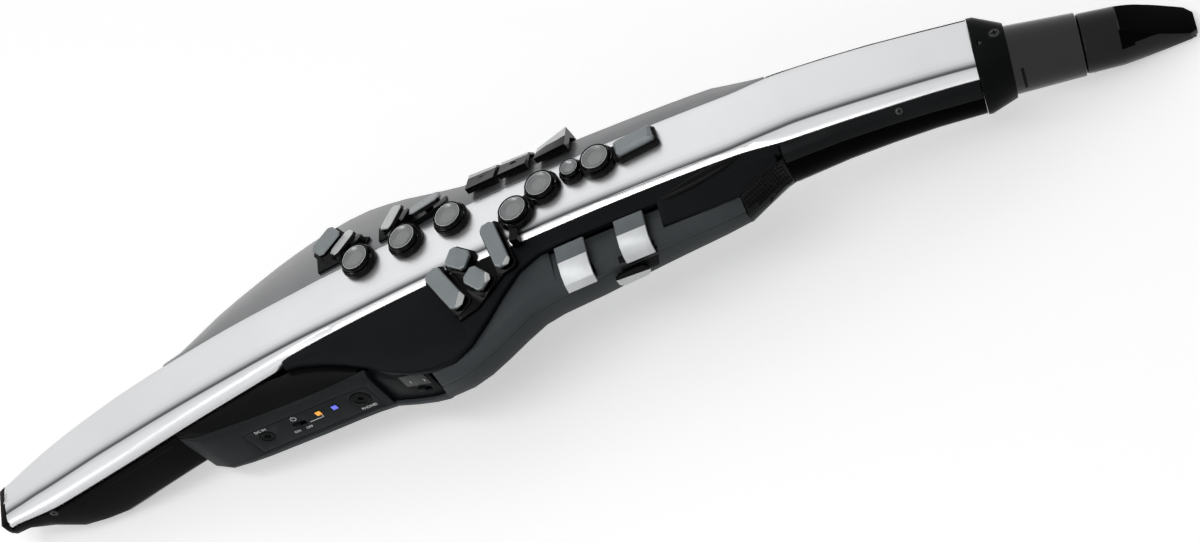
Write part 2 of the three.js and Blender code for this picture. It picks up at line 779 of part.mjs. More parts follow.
// A strip with a section in y and depth, of one length along x
function strip(section, length) {
  const shape = new THREE.Shape(section.map(([y, depth]) => new THREE.Vector2(y, -depth)));
  const geometry = new THREE.ExtrudeGeometry(shape, { depth: length, bevelEnabled: false });
  geometry.translate(0, 0, -length / 2);
  const turn = new THREE.Matrix4().makeBasis(
    new THREE.Vector3(0, 1, 0),
    new THREE.Vector3(0, 0, 1),
    new THREE.Vector3(1, 0, 0),
  );
  return geometry.applyMatrix4(turn);
}

function palmStem(radius, from, to) {
  return disc(radius, from - palmTopDepth, to - palmTopDepth).translate(0, -palmInner - palmStep / 2, 0);
}

function palmKey(key) {
  const stem = palmStem(stemRadius, -palmWall - plateTravel - stemReach, -palmWall);
  return join(strip(walled(palmLine(key.shift), palmWall), palmLength), [stem]);
}

palmKeys.forEach((key) => stand(key.name, palmKey(key), seat(along(key.share), 0, 0), 0xbdc2c3, metal));

// Wing housing
const wingShoulder = 4;
const wingRise = 7;

const wingTop = (x) => (x < along(trimStartShare) - 2 * seam ? deckSide(x) : trimSide(x));

function wingLine(x) {
  const top = wingTop(x);
  const inPalm = x > along(palmStartShare) && x < along(palmEndShare);
  const side = nearSide(x);
  const part = partDepth(x);
  return [
    [-top, deckDepth(top, x) + deckSkirt + (inPalm ? palmRecess : seam)],
    [-Math.max(top + seam, side - wingShoulder), part - wingRise],
    [-side, part - shellWall],
    [-side, part],
  ];
}

function palmNotch(key) {
  const width = palmLength + 4 * seam;
  const notch = new THREE.BoxGeometry(width, 2 * palmReach, 4 * overrun);
  notch.translate(0, -palmInner - palmStep - palmScoop / 2 - palmReach, -palmTopDepth);
  return notch.applyMatrix4(seat(along(key.share), 0, 0));
}

const palmHoles = palmKeys.map((key) => (
  palmStem(stemRadius + keyClearance, -4 * overrun, overrun).applyMatrix4(seat(along(key.share), 0, 0))
));

const wingPlaces = [
  ...placesBetween(along(wingStartShare) + seam, along(palmStartShare), finePitch),
  ...placesBetween(along(palmStartShare) + seam, along(palmEndShare) - seam, finePitch),
  ...placesBetween(along(palmEndShare), along(trimStartShare) - 3 * seam, finePitch),
  ...placesBetween(along(trimStartShare) - seam, along(wingEndShare), finePitch),
];
add('wing_housing', cut(loft(wingPlaces, (x) => walled(wingLine(x), shellWall)), [
  ...palmKeys.map(palmNotch),
  ...palmHoles,
]), darkGray);

// Speaker grille and the speaker behind it
const grillePlaces = placesBetween(along(wingEndShare) + seam, along(neckJointShare) - seam, finePitch);
add('speaker_grille', loft(grillePlaces, (x) => walled(wingLine(x), shellWall)), black);

const speakerShare = 0.793;
const speakerDepth = 19;
const speakerRadius = 7;
const speakerHeight = 5;
const speakerInset = 3.4;
const speaker = turned([
  [0, -speakerHeight - shellWall], [speakerRadius / 2, -speakerHeight - shellWall],
  [speakerRadius / 2, -speakerHeight / 2 - shellWall], [speakerRadius, -shellWall - seam], [0, -shellWall - seam],
]);
stand('speaker', speaker, sideFrame(speakerShare, speakerDepth, speakerInset), black);

// Rear cover, round the back from one parting line to the other
function rearLine(x) {
  const near = nearSide(x);
  const far = farSide(x);
  const back = backDepth(x);
  const a = [-near, partDepth(x) + seam];
  const b = [-near, lowDepth(x)];
  const c = [-near * landShare, back];
  const d = [far * landShare, back];
  const e = [far, farLowDepth(x)];
  const f = [far, farPartDepth(x) + seam];
  return [a, ...rounded(a, b, c, bodyDepth / 6), ...rounded(b, c, d, bodyDepth / 5),
    ...rounded(c, d, e, bodyDepth / 5), ...rounded(d, e, f, bodyDepth / 6), f];
}

const rearPlaces = [
  ...placesBetween(along(tailEndShare) + seam, along(stepShare), finePitch),
  ...placesBetween(along(wingStartShare), along(wingEndShare) - 2 * seam, finePitch),
  ...placesBetween(along(wingEndShare) + seam, along(neckJointShare) - seam, finePitch),
];

// Far side cover
function farLine(x) {
  const start = panelHalf(x) + 2 * seam;
  const side = farSide(x);
  const shoulder = Math.min(shoulderRound, (side - start) / 2);
  const run = side - shoulder - start;
  const drop = farLedgeDepth + shoulderSlope * run;
  const part = farPartDepth(x);
  return [
    [start, farLedgeDepth],
    [start + Math.min(shellWall, run / 4), farLedgeDepth],
    [start + run / 2, farLedgeDepth + shoulderSlope * run / 3],
    [side - shoulder, drop],
    [side - shoulder / 4, drop + shoulderRound],
    [side, (drop + shoulderRound + part) / 2],
    [side, part],
  ];
}

const farPlaces = placesBetween(along(tailEndShare) + seam, along(neckJointShare) - seam, finePitch);
add('far_side_cover', cut(loft(farPlaces, (x) => walled(farLine(x), -shellWall)),
  [...farLowerSeats, ...wedgeSeats].map(plateHole)), 0x6e7173);

// Tail shell with its end wall and battery opening
function tailLine(x) {
  const near = tailNear(x);
  const far = tailFar(x);
  const back = backDepth(x);
  const low = back * tailLowShare;
  const a = [-near, panelEdgeDepth + curlDepth * curl(x) + seam];
  const b = [-near, low];
  const c = [-near * tailLandShare, back];
  const d = [near * tailLandShare, back];
  const e = [far, low];
  const f = [far, panelEdgeDepth + seam];
  return [a, ...rounded(a, b, c, bodyDepth / 8), ...rounded(b, c, d, bodyDepth / 8),
    ...rounded(c, d, e, bodyDepth / 8), ...rounded(d, e, f, bodyDepth / 8), f];
}

const tailTip = along(tailTipShare);
const tailEndInnerShare = 0.997;
const tailEndTaperShare = 0.08;

function tailEndSection(x) {
  const shrink = tailEndInnerShare + (x - tailTip) * tailEndTaperShare / endWall;
  const line = tailLine(tailTip);
  const top = [[panelHalf(tailTip), lipDrop / 4], [-panelHalf(tailTip), lipDrop / 4]];
  return [...line, ...top].map(([y, depth]) => [y * shrink, depth * shrink]);
}

const doorStartShare = 0.09;
const doorEndShare = 0.165;
const doorHalfWidth = 11.5;

function doorSection(x, grow, over) {
  const back = backDepth(x);
  const half = doorHalfWidth + grow;
  return [[-half, back + over], [half, back + over], [half, back - shellWall - over], [-half, back - shellWall - over]];
}

function batteryDoor(grow, over) {
  const places = placesBetween(along(doorStartShare) - grow, along(doorEndShare) + grow);
  return loft(places, (x) => doorSection(x, grow, over));
}

const tailPlaces = placesBetween(tailTip - endWall / 2, along(tailEndShare), finePitch);
const tailEndPlaces = [tailTip - endWall, tailTip - endWall / 2, tailTip - seam];
add('tail_shell', cut(join(loft(tailPlaces, (x) => walled(tailLine(x), shellWall)), [
  loft(tailEndPlaces, tailEndSection),
]), [batteryDoor(seam, overrun)]), black, gloss);
add('battery_door', batteryDoor(0, 0), black, gloss);

const packShare = 0.1155;
const packLength = 62;
const packWidth = 26;
const packHeight = 14.5;
const packRound = 1.5;
const packLift = 2.8;
const pack = octagonBlock({ length: packLength, width: packWidth }, packRound, 0, packHeight, packRound);
const packDepth = backDepth(along(packShare)) - shellWall - packLift;
const packRise = backDepth(along(packShare) + packLength / 2) - backDepth(along(packShare) - packLength / 2);
const packPitch = Math.atan(packRise / packLength);
stand('battery_pack', pack, seat(along(packShare), 0, packDepth, { pitch: packPitch }), 0x4a6fae);

// Neck
function neckTrimSection(x) {
  const start = panelHalf(x) + seam;
  const side = neckSide(x);
  return [
    [-start, ledgeDepth],
    [-side + neckTrimDepth / 12, neckTrimDepth / 2],
    [-side, neckTrimDepth],
    [-side + shellWall, neckTrimDepth],
    [-side + neckTrimDepth / 12 + shellWall, neckTrimDepth / 2 + shellWall / 2],
    [-start, ledgeDepth + shellWall],
  ];
}

const neckPlaces = placesBetween(along(neckJointShare) + seam, bodyLength);
add('neck_side_trim', loft(neckPlaces, neckTrimSection), darkGray);

function neckLine(x) {
  const side = neckSide(x);
  const back = backDepth(x);
  const low = back * neckLowShare;
  const land = side * landShare;
  const near = [-side, neckTrimDepth + seam];
  const far = [side, neckTrimDepth];
  return [
    near,
    ...rounded(near, [-side, low], [-land, back], bodyDepth / 6),
    ...rounded([-side, low], [-land, back], [land, back], bodyDepth / 6),
    ...rounded([-land, back], [land, back], [side, low], bodyDepth / 6),
    ...rounded([land, back], [side, low], far, bodyDepth / 6),
    far,
    [side - neckTrimDepth / 12, neckTrimDepth / 2],
    [panelHalf(x) + seam + shellWall, ledgeDepth],
    [panelHalf(x) + seam, ledgeDepth],
  ];
}

add('neck_shell', loft(neckPlaces, (x) => walled(neckLine(x), shellWall)), black, gloss);

// What lies under the bases: the deck, the front panel and the far cover, raised by a distance
function topLine(x) {
  const w = panelHalf(x);
  const crease = w - panelHalfWidth * follow(creaseShares, x / bodyLength);
  const side = deckSide(x);
  const low = deckDepth(side, x);
  return [
    [-side, low + deckSkirt],
    [-side, low + deckEdge],
    [-side + deckEdge, low - deckEdge / 4],
    [-w - seam, ledgeDepth],
    [-w, lipDrop],
    [-w + panelRound, lipDrop - panelRound / 2],
    [-crease - creaseWidth, creaseDepth / 2],
    [-crease + creaseWidth, 0],
    [w / 2, 0],
    [w - panelRound, 0],
    [w, panelRound / 2],
    ...farLine(x),
  ];
}

function under(from, to, gap) {
  return loft(placesBetween(from, to, finePitch), (x) => [
    ...shifted(topLine(x), gap),
    [farSide(x) + gap, bodyDepth],
    [-deckSide(x) - gap, bodyDepth],
  ]);
}

// Round keys and their bases
const pearlDip = 0.5;
const ringBevel = 0.8;
const baseReach = 1.5 * sectionPitch;
const keySides = 18;
const ringOuter = (key) => key.radius + keyClearance + baseRim;
const flatSeat = (key) => seat(along(key.share), key.y, 0);

function roundKey(radius) {
  const pearl = radius * pearlShare;
  return turned([
    [0, -stemReach], [stemRadius, -stemReach], [stemRadius, keyRise - keyThickness],
    [radius, keyRise - keyThickness], [radius, keyRise - pearlDip], [radius - pearlDip, keyRise],
    [pearl, keyRise], [pearl - pearlDip / 2, keyRise - pearlDip], [0, keyRise - 2 * pearlDip],
  ], keySides);
}

function ringBlock(key, grow = 0) {
  const outer = ringOuter(key) + grow;
  const block = turned([
    [0, -overrun], [outer, -overrun], [outer, baseHeight - ringBevel], [outer - ringBevel, baseHeight],
    [0, baseHeight],
  ], keySides);
  return block.applyMatrix4(flatSeat(key));
}

function ringHole(key) {
  return disc(key.radius + keyClearance, -2 * overrun, 2 * overrun, keySides).applyMatrix4(flatSeat(key));
}

// A straight bar of a base between two places on the front
function bridge(from, to, width) {
  const reach = along(to.share - from.share);
  const half = Math.hypot(reach, to.y - from.y) / 2;
  const yaw = Math.atan2(to.y - from.y, reach);
  const bar = outlined(
    [[-half, -width / 2], [half, -width / 2], [half, width / 2], [-half, width / 2]],
    overrun + baseHeight - ringBevel / 2,
  );
  bar.translate(0, 0, -overrun);
  return bar.applyMatrix4(seat(along((from.share + to.share) / 2), (from.y + to.y) / 2, 0, { yaw }));
}

const [key1, key2, key3, key4, key5, key6, key7] = roundKeys;
roundKeys.forEach((key) => stand(key.name, roundKey(key.radius), flatSeat(key), 0xc9ccd0, metal));
[key1, key2, key3].forEach((key, i) => {
  add(`key_base_${i + 1}`, cut(ringBlock(key), [
    ringHole(key),
    under(along(key.share) - baseReach, along(key.share) + baseReach, seam),
  ]), black);
});

const tabWidth = 4.6;
const tabStart = { share: 0.571, y: -6 };
const tabEnd = { share: 0.5674, y: -21.5 };
add('key_base_pair', cut(join(ringBlock(key4), [
  ringBlock(key5),
  bridge(key4, key5, key4.radius),
  bridge(tabEnd, tabStart, tabWidth),
]), [
  ringHole(key4),
  ringHole(key5),
  under(along(key4.share) - baseReach, along(key5.share) + baseReach, seam),
]), black);

// Front plate key: four sides that slope up to a smaller top
const frontPlateTop = 7.6;
const frontPlateThickness = 4.4;
const frontPlateSlope = 1.6;

const grown = (size, grow) => ({ length: size.length + 2 * grow, width: size.width + 2 * grow });
const frontPlateSeat = seat(along(frontPlate.share), frontPlate.y, 0, { yaw: frontPlate.yaw });
const frontPlateUnderside = frontPlateTop - frontPlateThickness;
stand('front_plate_key', join(
  octagonBlock(frontPlate, plateCorner / 2, frontPlateUnderside, frontPlateTop, frontPlateSlope),
  [disc(stemRadius, -stemReach, frontPlateTop - frontPlateThickness / 2)],
), frontPlateSeat, plateGray);

add('key_base_triple', cut(join(ringBlock(key7), [
  ringBlock(key6),
  bridge(key7, key6, key7.radius),
  bridge(key6, frontPlate, key6.radius),
  octagonBlock(grown(frontPlate, keyClearance + baseRim), plateCorner, -overrun, baseHeight, ringBevel)
    .applyMatrix4(frontPlateSeat),
]), [
  ringHole(key6),
  ringHole(key7),
  octagonBlock(grown(frontPlate, keyClearance), plateCorner / 2, -2 * overrun, 2 * overrun, seam)
    .applyMatrix4(frontPlateSeat),
  under(along(key7.share) - baseReach, along(frontPlate.share) + baseReach, seam),
]), black);

// Pinky keys and far lower keys on their pedestals
const pedestalMargin = 1.5;
const padThickness = 1.4;

function pedestal(key, matrix) {
  const roll = (key.roll ?? 0) * degree;
  const seen = { length: key.length, width: key.width * Math.cos(roll) };
  const block = octagonBlock(grown(seen, pedestalMargin), plateCorner, -4 * overrun, overrun, plateBevel);
  const above = new THREE.BoxGeometry(2 * key.length, 4 * key.width, 4 * overrun);
  above.translate(0, 0, 2 * overrun - plateThickness);
  above.applyMatrix4(new THREE.Matrix4().makeRotationX(roll));
  above.translate(0, 0, -plateTravel - 2 * seam);
  return cut(block, [above]).applyMatrix4(matrix);
}

// The space that a plate key needs round itself and for its travel
function sweep(key, matrix) {
  const room = octagonBlock(grown(key, 2 * seam), plateCorner, -plateThickness, 2 * overrun, plateBevel);
  room.applyMatrix4(new THREE.Matrix4().makeRotationX((key.roll ?? 0) * degree));
  room.translate(0, 0, -plateTravel - 2 * seam);
  return room.applyMatrix4(matrix);
}

// A thin pad on the deck or the cover with an outline of places along and across the body
function pad(places) {
  const block = outlined(places, 10 * overrun).translate(0, 0, -8 * overrun);
  const xs = places.map(([x]) => x);
  const layer = under(Math.min(...xs) - sectionPitch, Math.max(...xs) + sectionPitch, padThickness + seam);
  return fromManifold(toManifold(block).intersect(toManifold(layer)));
}

function keyBase(name, places, keys, seats, rings) {
  const xs = places.map(([x]) => x);
  add(name, cut(join(pad(places), keys.map((key, i) => pedestal(key, seats[i]))), [
    under(Math.min(...xs) - baseReach, Math.max(...xs) + baseReach, seam),
    ...seats.map(plateHole),
    ...keys.map((key, i) => sweep(key, seats[i])),
    ...rings.map((key) => ringBlock(key, seam)),
  ]), black);
}

pinkyKeys.forEach((key, i) => stand(key.name, plateKey(key), pinkySeats[i], plateGray));
farLowerKeys.forEach((key, i) => stand(key.name, plateKey(key), farLowerSeats[i], plateGray));
const pinkyPadShares = [
  [0.48, 0.31], [0.552, 0.31], [0.558, 0.4], [0.546, 0.5], [0.516, 0.66], [0.497, 0.69],
];
const pinkyPlaces = pinkyPadShares.map(([share, side]) => [along(share), -wingReach * side]);
keyBase('pinky_base', pinkyPlaces, pinkyKeys, pinkySeats, [key3, key4]);
const farPadShares = [
  [[0.368, 0.34], [0.416, 0.34], [0.424, 0.46], [0.4, 0.6], [0.365, 0.66]],
  [[0.434, 0.34], [0.503, 0.34], [0.503, 0.5], [0.434, 0.5]],
];
farPadShares.forEach((shares, i) => {
  const places = shares.map(([share, side]) => [along(share), farReach * side]);
  const pair = [2 * i, 2 * i + 1];
  keyBase(
    `far_lower_base_${i + 1}`,
    places,
    pair.map((k) => farLowerKeys[k]),
    pair.map((k) => farLowerSeats[k]),
    i === 0 ? [key1, key2] : [key2, key3],
  );
});

// Far upper keys: wedges that wrap over the shoulder of the cover
const wedgeNear = 25;
const wedgeRise = 4;
const wedgeDrop = 4;
const wedgeShoulder = 3.5;
const wedgeWall = 2.4;
const wedgeTurn = 12;
const wedgeLow = 21;
const wedgeLift = wedgeTravel + 2 * seam;
const flareReach = 4.6;
const flareRise = 2.4;

function wedgeLine(x, flare) {
  const side = farSide(x);
  const cover = shifted(farLine(x), wedgeLift);
  const over = cover.filter(([y, depth]) => y > wedgeNear + wedgeLift && depth < wedgeTurn + shoulderRound);
  const start = cover.findLast(([y]) => y <= wedgeNear + wedgeLift);
  const share = (wedgeNear - start[0]) / (over[0][0] - start[0]);
  const nearDepth = start[1] + share * (over[0][1] - start[1]);
  return [
    [wedgeNear, nearDepth - seam],
    [wedgeNear, -wedgeRise - flare * flareRise / 2],
    [side - wedgeShoulder + flare * flareReach, wedgeDrop - flare * flareRise],
    [side + wedgeWall, wedgeTurn],
    [side + wedgeWall, wedgeLow],
    [side + 2 * seam, wedgeLow],
    ...over.reverse().map(([y, depth]) => [Math.min(y, side + 2 * seam), depth - seam]),
  ];
}

farUpperKeys.forEach((key, i) => {
  const flareAt = (x) => key.flare * (x - along(key.from)) / along(key.to - key.from);
  const wedge = loft(placesBetween(along(key.from), along(key.to), finePitch), (x) => wedgeLine(x, flareAt(x)));
  const stem = disc(stemRadius, -shoulderRound - stemReach - wedgeTravel, 0).applyMatrix4(wedgeSeats[i]);
  add(key.name, join(wedge, [stem]), plateGray);
});

// Third palm key, low on the near side
const lowPalmShare = 0.656;
const lowPalmDepth = 25;
const lowPalm = { length: 18, width: 8 };
const lowPalmTravel = 1.2;
const lowPalmFrame = sideFrame(lowPalmShare, lowPalmDepth);
const lowPalmPlate = octagonBlock(lowPalm, plateCorner, lowPalmTravel + 2 * seam,
  lowPalmTravel + 2 * seam + plateThickness, plateBevel);
stand('palm_key_3', join(lowPalmPlate, [disc(stemRadius, -shellWall - stemReach / 2, plateThickness)]),
  lowPalmFrame, darkGray);

// Pieces on the back, in a frame that looks out of it
function backFrame(share) {
  const x = along(share);
  const rise = Math.atan((backDepth(x + sectionPitch) - backDepth(x - sectionPitch)) / (2 * sectionPitch));
  const turnedOver = new THREE.Matrix4().makeRotationX(Math.PI);
  return seat(x, 0, backDepth(x), { pitch: rise }).multiply(turnedOver);
}

const octaveSize = { length: 12, width: 22 };
const octaveRise = 2.6;
const octaveTravel = 1.5;
octaveKeys.forEach((key) => {
  const plate = octagonBlock(octaveSize, plateCorner, octaveTravel + 2 * seam,
    octaveTravel + 2 * seam + octaveRise, plateBevel);
  const stem = disc(stemRadius, -shellWall - stemReach, octaveTravel + octaveRise / 2);
  stand(key.name, join(plate, [stem]), backFrame(key.share), plateGray);
});

const restShare = 0.685;
const restSize = { length: 19, width: 24 };
const restHeight = 3;
stand('thumb_rest', octagonBlock(restSize, plateCorner, seam, restHeight, plateBevel), backFrame(restShare), black);

// Thumb hook: a foot on the back, a leg and a sole that the body lies on
const hookShare = 0.495;
const hookWidth = 20;
const hookLength = 34;
const hookSole = 24;
const hookFoot = 3;
const hookWall = 3.5;
const hookRound = 7;
const hookTop = spineHeight(along(hookShare)) - backDepth(along(hookShare)) - seam;
const hookMiddle = spinePoint(along(hookShare), 0, backDepth(along(hookShare)));

function hookOutline() {
  const back = -hookLength / 2;
  const front = back + hookSole;
  const lean = hookLength / 2 * Math.tan(spineSlope(along(hookShare)));
  const shape = new THREE.Shape();
  shape.moveTo(-back, hookTop + lean);
  shape.lineTo(back, hookTop - lean);
  shape.lineTo(back, -restDrop + hookRound);
  shape.quadraticCurveTo(back, -restDrop, back + hookRound, -restDrop);
  shape.lineTo(front, -restDrop);
  shape.lineTo(front, -restDrop + hookWall);
  shape.lineTo(back + hookRound, -restDrop + hookWall);
  shape.quadraticCurveTo(back + hookWall, -restDrop + hookWall, back + hookWall, -restDrop + hookRound);
  shape.lineTo(back + hookWall, hookTop - lean - hookFoot);
  shape.lineTo(-back, hookTop + lean - hookFoot);
  return shape;
}

const hook = new THREE.ExtrudeGeometry(hookOutline(), { depth: hookWidth, bevelEnabled: false, curveSegments: 5 });
hook.translate(0, 0, -hookWidth / 2);
hook.rotateX(Math.PI / 2);
hook.translate(hookMiddle.x, 0, 0);
add('thumb_hook', hook, darkGray);

// Strap ring, folded against the back between two lugs of the rear cover
const ringShare = 0.612;
const ringPin = 1.5;
const ringDrop = 3.2;
const ringReach = 19;
const ringHalf = 12;
const ringBar = 3;
const lugLength = 6;
const lugWidth = 4;
const lugInset = 1.5;
const ringFrame = backFrame(ringShare);

function crossPin(radius, half) {
  return new THREE.CylinderGeometry(radius, radius, 2 * half).translate(0, 0, ringDrop);
}

function lug(side) {
  const block = new THREE.BoxGeometry(lugLength, lugWidth, 2 * ringDrop + shellWall);
  const y = side * (ringHalf - ringBar - seam - lugWidth / 2 - lugInset);
  return block.translate(0, y, ringDrop - shellWall / 2);
}

const loop = outlined([
  [-ringReach, -ringHalf], [ringBar / 2, -ringHalf], [ringBar / 2, ringHalf], [-ringReach, ringHalf],
], ringBar).translate(0, 0, ringDrop - ringBar / 2);
const loopHole = outlined([
  [ringBar - ringReach, -ringHalf + ringBar], [overrun, -ringHalf + ringBar],
  [overrun, ringHalf - ringBar], [ringBar - ringReach, ringHalf - ringBar],
], 2 * ringBar).translate(0, 0, ringDrop - ringBar);
stand('strap_ring', join(cut(loop, [loopHole]), [crossPin(ringPin, ringHalf - ringBar / 2)]), ringFrame, silver, metal);

add('rear_cover', cut(join(loft(rearPlaces, (x) => walled(rearLine(x), shellWall)), [
  lug(-1).applyMatrix4(ringFrame),
  lug(1).applyMatrix4(ringFrame),
]), [
  crossPin(ringPin + seam, ringHalf).applyMatrix4(ringFrame),
  disc(stemRadius + keyClearance, -2 * overrun, overrun, stemSides).applyMatrix4(lowPalmFrame),
  ...octaveKeys.map((key) => disc(stemRadius + keyClearance, -2 * overrun, overrun, stemSides)
    .applyMatrix4(backFrame(key.share))),
]), darkGray);

// Blowing end, along an axis that droops a little more than the neck
const collarFloor = 2;
const airHole = 3;
const collarSquareness = 0.6;
const collarLowSquareness = 0.85;
const neckAxis = seat(bodyLength, 0, neckAxisDepth).multiply(new THREE.Matrix4().makeRotationY(neckExtraDroop));

function axial(profile, sides = roundSides) {
  return turned(profile, sides).rotateY(Math.PI / 2);
}

function collarRing(x, matrix, blend) {
  const side = neckSide(bodyLength) + collarProud / 2;
  const top = neckAxisDepth + collarProud;
  const low = backDepth(bodyLength) - neckAxisDepth;
  const round = tubeRadius + collarWall;
  return Array.from({ length: roundSides }, (_, i) => {
    const angle = (i / roundSides) * 2 * Math.PI;
    const c = Math.cos(angle);
    const s = Math.sin(angle);
    const square = s > 0 ? collarSquareness : collarLowSquareness;
    const boxY = Math.sign(c) * Math.abs(c) ** square * side;
    const boxZ = Math.sign(s) * Math.abs(s) ** square * (s > 0 ? top : low);
    const y = boxY + (round * c - boxY) * blend;
    const z = boxZ + (round * s - boxZ) * blend;
    return new THREE.Vector3(x, y, z).applyMatrix4(matrix);
  });
}

const collarStart = seat(bodyLength, 0, neckAxisDepth);
const collarRings = [
  collarRing(seam, collarStart, 0),
  collarRing(collarRim, neckAxis, 0),
  collarRing(collarLength, neckAxis, 1),
];
const collarFlat = collarRing(0, new THREE.Matrix4(), 0).map((p) => new THREE.Vector2(p.y, p.z));
add('neck_collar', cut(skin(collarRings, collarFlat), [
  axial([[0, collarFloor + 2 * seam], [tubeRadius + seam, collarFloor + 2 * seam],
    [tubeRadius + seam, 2 * collarLength], [0, 2 * collarLength]]).applyMatrix4(neckAxis),
  axial([[0, -overrun], [airHole, -overrun], [airHole, 2 * overrun], [0, 2 * overrun]])
    .applyMatrix4(neckAxis),
]), darkGray);

const tubeStart = collarFloor + 3 * seam;
stand('neck_tube', axial([
  [tubeRadius - tubeWall, tubeStart], [tubeRadius, tubeStart], [tubeRadius, collarLength],
  [tubeEndRadius, tubeLength], [sleeveRadius, tubeLength], [sleeveRadius, tubeLength + sleeveLength],
  [sleeveRadius - tubeWall, tubeLength + sleeveLength], [sleeveRadius - tubeWall, tubeLength - tubeWall],
  [tubeEndRadius - tubeWall, tubeLength - 2 * tubeWall], [tubeRadius - tubeWall, tubeStart],
]), neckAxis, darkGray);

const sensorRadius = 9;
const sensorLength = 16;
stand('breath_sensor', axial([
  [0, -sensorLength], [sensorRadius, -sensorLength], [sensorRadius, -2 * seam],
  [airHole, -2 * seam], [airHole, -sensorLength / 2], [0, -sensorLength / 2],
]), neckAxis, 0x2f5f8f);

// Mouthpiece with its bore, sloping beak, flat table and narrowing sides, and the reed below it
const mouthStart = tubeLength + seam;
const mouthRadius = sleeveRadius + mouthpieceWall;
const mouthEnd = mouthStart + mouthpieceLength;
const tableLead = 3.5;
const tableRise = 10;
const beakDrop = 17.5;
const windowWidth = 11;
const windowDepth = 4;

function halfSpace(point, tilt, turn, above) {
  const block = new THREE.BoxGeometry(4 * mouthpieceLength, 4 * mouthpieceLength, 4 * mouthpieceLength);
  block.translate(0, 0, above * 2 * mouthpieceLength);
  block.rotateX(turn);
  block.rotateY(tilt);
  return block.translate(...point);
}

const tableTilt = -Math.atan(tableRise / (mouthpieceLength - tableLead));
const tableStart = [mouthStart + tableLead, 0, -mouthRadius + reedThickness];
const beakTilt = Math.atan(beakDrop / beakLength);
const beakStart = [mouthEnd - beakLength, 0, mouthRadius];
const sideTurn = Math.atan((mouthRadius - tipHalfWidth) / beakLength);

function sideSpace(side) {
  const block = new THREE.BoxGeometry(4 * mouthpieceLength, 2 * mouthpieceLength, 4 * mouthpieceLength);
  block.translate(0, side * mouthpieceLength, 0);
  block.rotateZ(-side * sideTurn);
  return block.translate(mouthEnd - beakLength, side * mouthRadius, 0);
}

const window = new THREE.BoxGeometry(mouthpieceLength, windowWidth, windowDepth);
window.translate(mouthpieceLength / 2 - seam, 0, windowDepth / 2 - seam);
window.rotateY(tableTilt);
window.translate(...tableStart);
stand('mouthpiece', cut(axial([
  [0, mouthStart], [mouthRadius, mouthStart], [mouthRadius, mouthEnd], [0, mouthEnd],
]), [
  halfSpace(tableStart, tableTilt, 0, -1),
  halfSpace(beakStart, beakTilt, 0, 1),
  sideSpace(-1),
  sideSpace(1),
  axial([
    [0, mouthStart - overrun], [sleeveRadius + seam, mouthStart - overrun],
    [sleeveRadius + seam, tubeLength + sleeveLength + seam], [0, tubeLength + sleeveLength + seam],
  ]),
  window,
]), neckAxis, black, gloss);

const reedLength = mouthpieceLength - tableLead - seam;
const reed = new THREE.BoxGeometry(reedLength, 2 * reedHalfWidth, reedThickness);
reed.translate(reedLength / 2, 0, -reedThickness / 2 - seam);
reed.rotateY(tableTilt);
reed.translate(...tableStart);
stand('reed', reed, neckAxis, 0x1c1d1e);

// The origin lies under the middle of the model, on the surface that it stands on
const box = new THREE.Box3().setFromObject(part, true);
body.position.set(-(box.min.x + box.max.x) / 2, -(box.min.y + box.max.y) / 2, -box.min.z);

export default part;
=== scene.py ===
import json
import math

import bpy
from mathutils import Matrix, Vector

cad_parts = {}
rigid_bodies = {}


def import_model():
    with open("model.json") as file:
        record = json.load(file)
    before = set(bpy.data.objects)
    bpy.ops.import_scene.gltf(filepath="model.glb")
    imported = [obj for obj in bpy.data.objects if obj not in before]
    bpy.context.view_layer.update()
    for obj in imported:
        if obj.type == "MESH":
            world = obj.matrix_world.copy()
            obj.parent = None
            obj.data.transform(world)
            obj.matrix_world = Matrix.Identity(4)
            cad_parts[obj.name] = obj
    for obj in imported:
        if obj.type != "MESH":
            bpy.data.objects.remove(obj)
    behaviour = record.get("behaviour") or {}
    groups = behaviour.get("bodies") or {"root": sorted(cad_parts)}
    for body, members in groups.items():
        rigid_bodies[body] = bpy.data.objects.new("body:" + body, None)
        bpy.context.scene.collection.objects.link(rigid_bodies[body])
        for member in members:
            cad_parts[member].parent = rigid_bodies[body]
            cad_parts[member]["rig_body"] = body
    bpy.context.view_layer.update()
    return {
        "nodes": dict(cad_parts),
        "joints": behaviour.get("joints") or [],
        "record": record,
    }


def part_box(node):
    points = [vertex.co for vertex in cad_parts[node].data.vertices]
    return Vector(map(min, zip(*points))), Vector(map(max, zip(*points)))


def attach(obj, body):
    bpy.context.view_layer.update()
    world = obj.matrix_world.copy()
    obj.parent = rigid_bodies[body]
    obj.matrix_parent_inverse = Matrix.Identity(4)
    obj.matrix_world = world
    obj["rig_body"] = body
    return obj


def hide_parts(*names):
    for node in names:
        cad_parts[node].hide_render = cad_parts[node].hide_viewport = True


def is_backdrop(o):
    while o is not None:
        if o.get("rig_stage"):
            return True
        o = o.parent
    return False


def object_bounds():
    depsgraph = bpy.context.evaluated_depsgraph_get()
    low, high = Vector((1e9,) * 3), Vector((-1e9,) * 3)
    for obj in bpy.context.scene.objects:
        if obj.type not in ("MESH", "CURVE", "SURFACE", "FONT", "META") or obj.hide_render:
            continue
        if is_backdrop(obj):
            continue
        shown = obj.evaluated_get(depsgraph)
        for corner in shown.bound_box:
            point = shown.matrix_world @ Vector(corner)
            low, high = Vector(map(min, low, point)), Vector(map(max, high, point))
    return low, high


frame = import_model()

print("frame loaded:", len(frame["nodes"]), "nodes")

